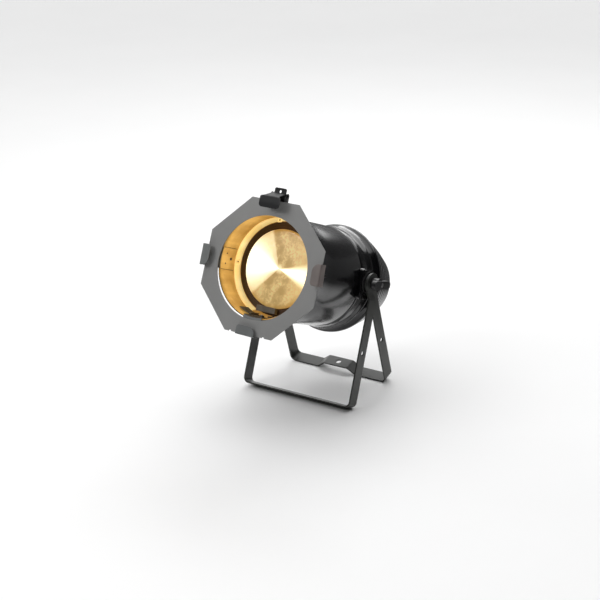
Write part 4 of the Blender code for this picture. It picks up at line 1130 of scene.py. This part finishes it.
def makeSockets():
    recess, pinEnd, outer, inner = rearPanel["recess"], rearPanel["pinEnd"], socket["outer"], socket["inner"]
    for name, (x, u) in socket["spots"].items():
        collar = openFrame(roundedBox(outer, outer, outer - 0.0001, 10, (x, u)),
                           roundedBox(inner, inner, inner - 0.0001, 10, (x, u)), *rearPanel["collar"])
        onBarrel(f"socketCollar_{name}", collar, "darkSteel", slot="black_plastic", bevel=0.0002)
        for k in range(3):
            turn = radians(90 + 120 * k)
            pinX, pinU = x + socket["pinRing"] * cos(turn), u + socket["pinRing"] * sin(turn)
            pin = rod((pinX, -recess, pinU), (pinX, -pinEnd, pinU), socket["pin"], 16)
            onBarrel(f"socketPin_{name}_{k}", pin, "zinc", slot="zinc", bevel=0.0003)


def makeInlet():
    centre, (halfX, halfU) = inlet["centre"], inlet["bladeHalf"]
    rim = openFrame(roundedBox(*inlet["outer"], 0.003, 8, centre),
                    roundedBox(*inlet["inner"], 0.0008, 8, centre), *rearPanel["collar"])
    onBarrel("inletRim", rim, "plastic", slot="black_plastic", bevel=0.0003)
    for k, (x, u) in enumerate(inlet["blades"]):
        blade = block((x - halfX, -rearPanel["recess"], u - halfU),
                      (x + halfX, -rearPanel["pinEnd"], u + halfU))
        onBarrel(f"inletBlade{k}", blade, "zinc", slot="zinc", bevel=0.0003)


makeWindowBezel()
makePanelScrews()
makeSockets()
makeInlet()
print("stage: rear panel detailed")

studio = dict(
    floorSize=40.0, floorTone=0.9, glossTone=0.03, glossReach=(0.3, 0.6), sun=3.1, sunAngle=110, key=20,
    rim=14, dark=0.0046, bright=0.051, top=0.046, horizon=0.041, backdrop=0.85)


def makeLamp(name, kind, energy, way, place=(0, 0, 0), **shape):
    data = bpy.data.lights.new(name, kind)
    data.energy = energy
    for key, value in shape.items():
        setattr(data, key, value)
    lamp = bpy.data.objects.new(name, data)
    lamp.location = place
    lamp.rotation_euler = Vector(way).to_track_quat("-Z", "Y").to_euler()
    bpy.context.scene.collection.objects.link(lamp)


def makeLamps():
    makeLamp("sun", "SUN", studio["sun"], (0.45, -0.55, -1.0), angle=radians(studio["sunAngle"]))
    for name, place, height, aim in (("key", (-1.3, -1.9, 1.9), 1.0, 0.2),
                                     ("rim", (-0.6, 1.7, 1.8), 0.5, 0.3)):
        makeLamp(name, "AREA", studio[name], Vector((0, 0, aim)) - Vector(place), place,
                 shape="RECTANGLE", size=1.4, size_y=height)


def makeWorld():
    # a dark room, a little lighter overhead and behind the light
    world = bpy.data.worlds.new("studio")
    world.use_nodes = True
    tree = world.node_tree
    way = addNode(tree, "SeparateXYZ")
    tree.links.new(addNode(tree, "TexCoord").outputs["Generated"], way.inputs[0])
    toFront = sums(tree, "SUBTRACT", times(tree, way.outputs["X"], 0.557),
                   times(tree, way.outputs["Y"], 0.83))
    backdrop = ramped(tree, toFront, -0.1, -0.45, studio["dark"], studio["bright"])
    ceiling = ramped(tree, way.outputs["Z"], 0.7, 0.95, 0.0, studio["top"])
    horizon = ramped(tree, way.outputs["Z"], 0.05, 0.13, studio["horizon"], 0.0)
    glow = sums(tree, "MAXIMUM", sums(tree, "MAXIMUM", backdrop, ceiling), horizon)
    # the backdrop is pale to look at, and gives hardly any light of its own
    seen = times(tree, addNode(tree, "LightPath").outputs["Is Camera Ray"], studio["backdrop"])
    tree.nodes["Background"].inputs["Color"].default_value = (1, 1, 1, 1)
    tree.links.new(sums(tree, "MAXIMUM", glow, seen), tree.nodes["Background"].inputs["Strength"])
    bpy.context.scene.world = world


def makeStudio():
    half = studio["floorSize"] / 2
    bm = bmesh.new()
    corners = ((-half, -half), (half, -half), (half, half), (-half, half))
    bm.faces.new([bm.verts.new((x, y, -0.0002)) for x, y in corners])
    floor = loose(bm, Matrix.Identity(4), "floor")
    pale = (studio["floorTone"],) * 3
    paper, tree, shader = newFinish("paperFloor", pale, 0.7)
    tone = ramped(tree, grain(tree, 3, 3), 0.3, 0.7)
    white = blendColours(tree, tone, pale, (studio["floorTone"] + 0.01,) * 3)
    # only the floor close by shows in the gloss, as if the paper ended in a dark room
    length = addNode(tree, "VectorMath", operation="LENGTH")
    tree.links.new(addNode(tree, "TexCoord").outputs["Object"], length.inputs[0])
    far = ramped(tree, length.outputs["Value"], *studio["glossReach"])
    share = times(tree, far, addNode(tree, "LightPath").outputs["Is Glossy Ray"])
    dark = (studio["glossTone"],) * 3
    tree.links.new(blendColours(tree, share, white, dark), shader.inputs["Base Color"])
    floor.data.materials.append(paper)
    makeWorld()
    bpy.context.scene.view_settings.view_transform = "Standard"
    makeLamps()


makeStudio()
print("stage: studio lit")
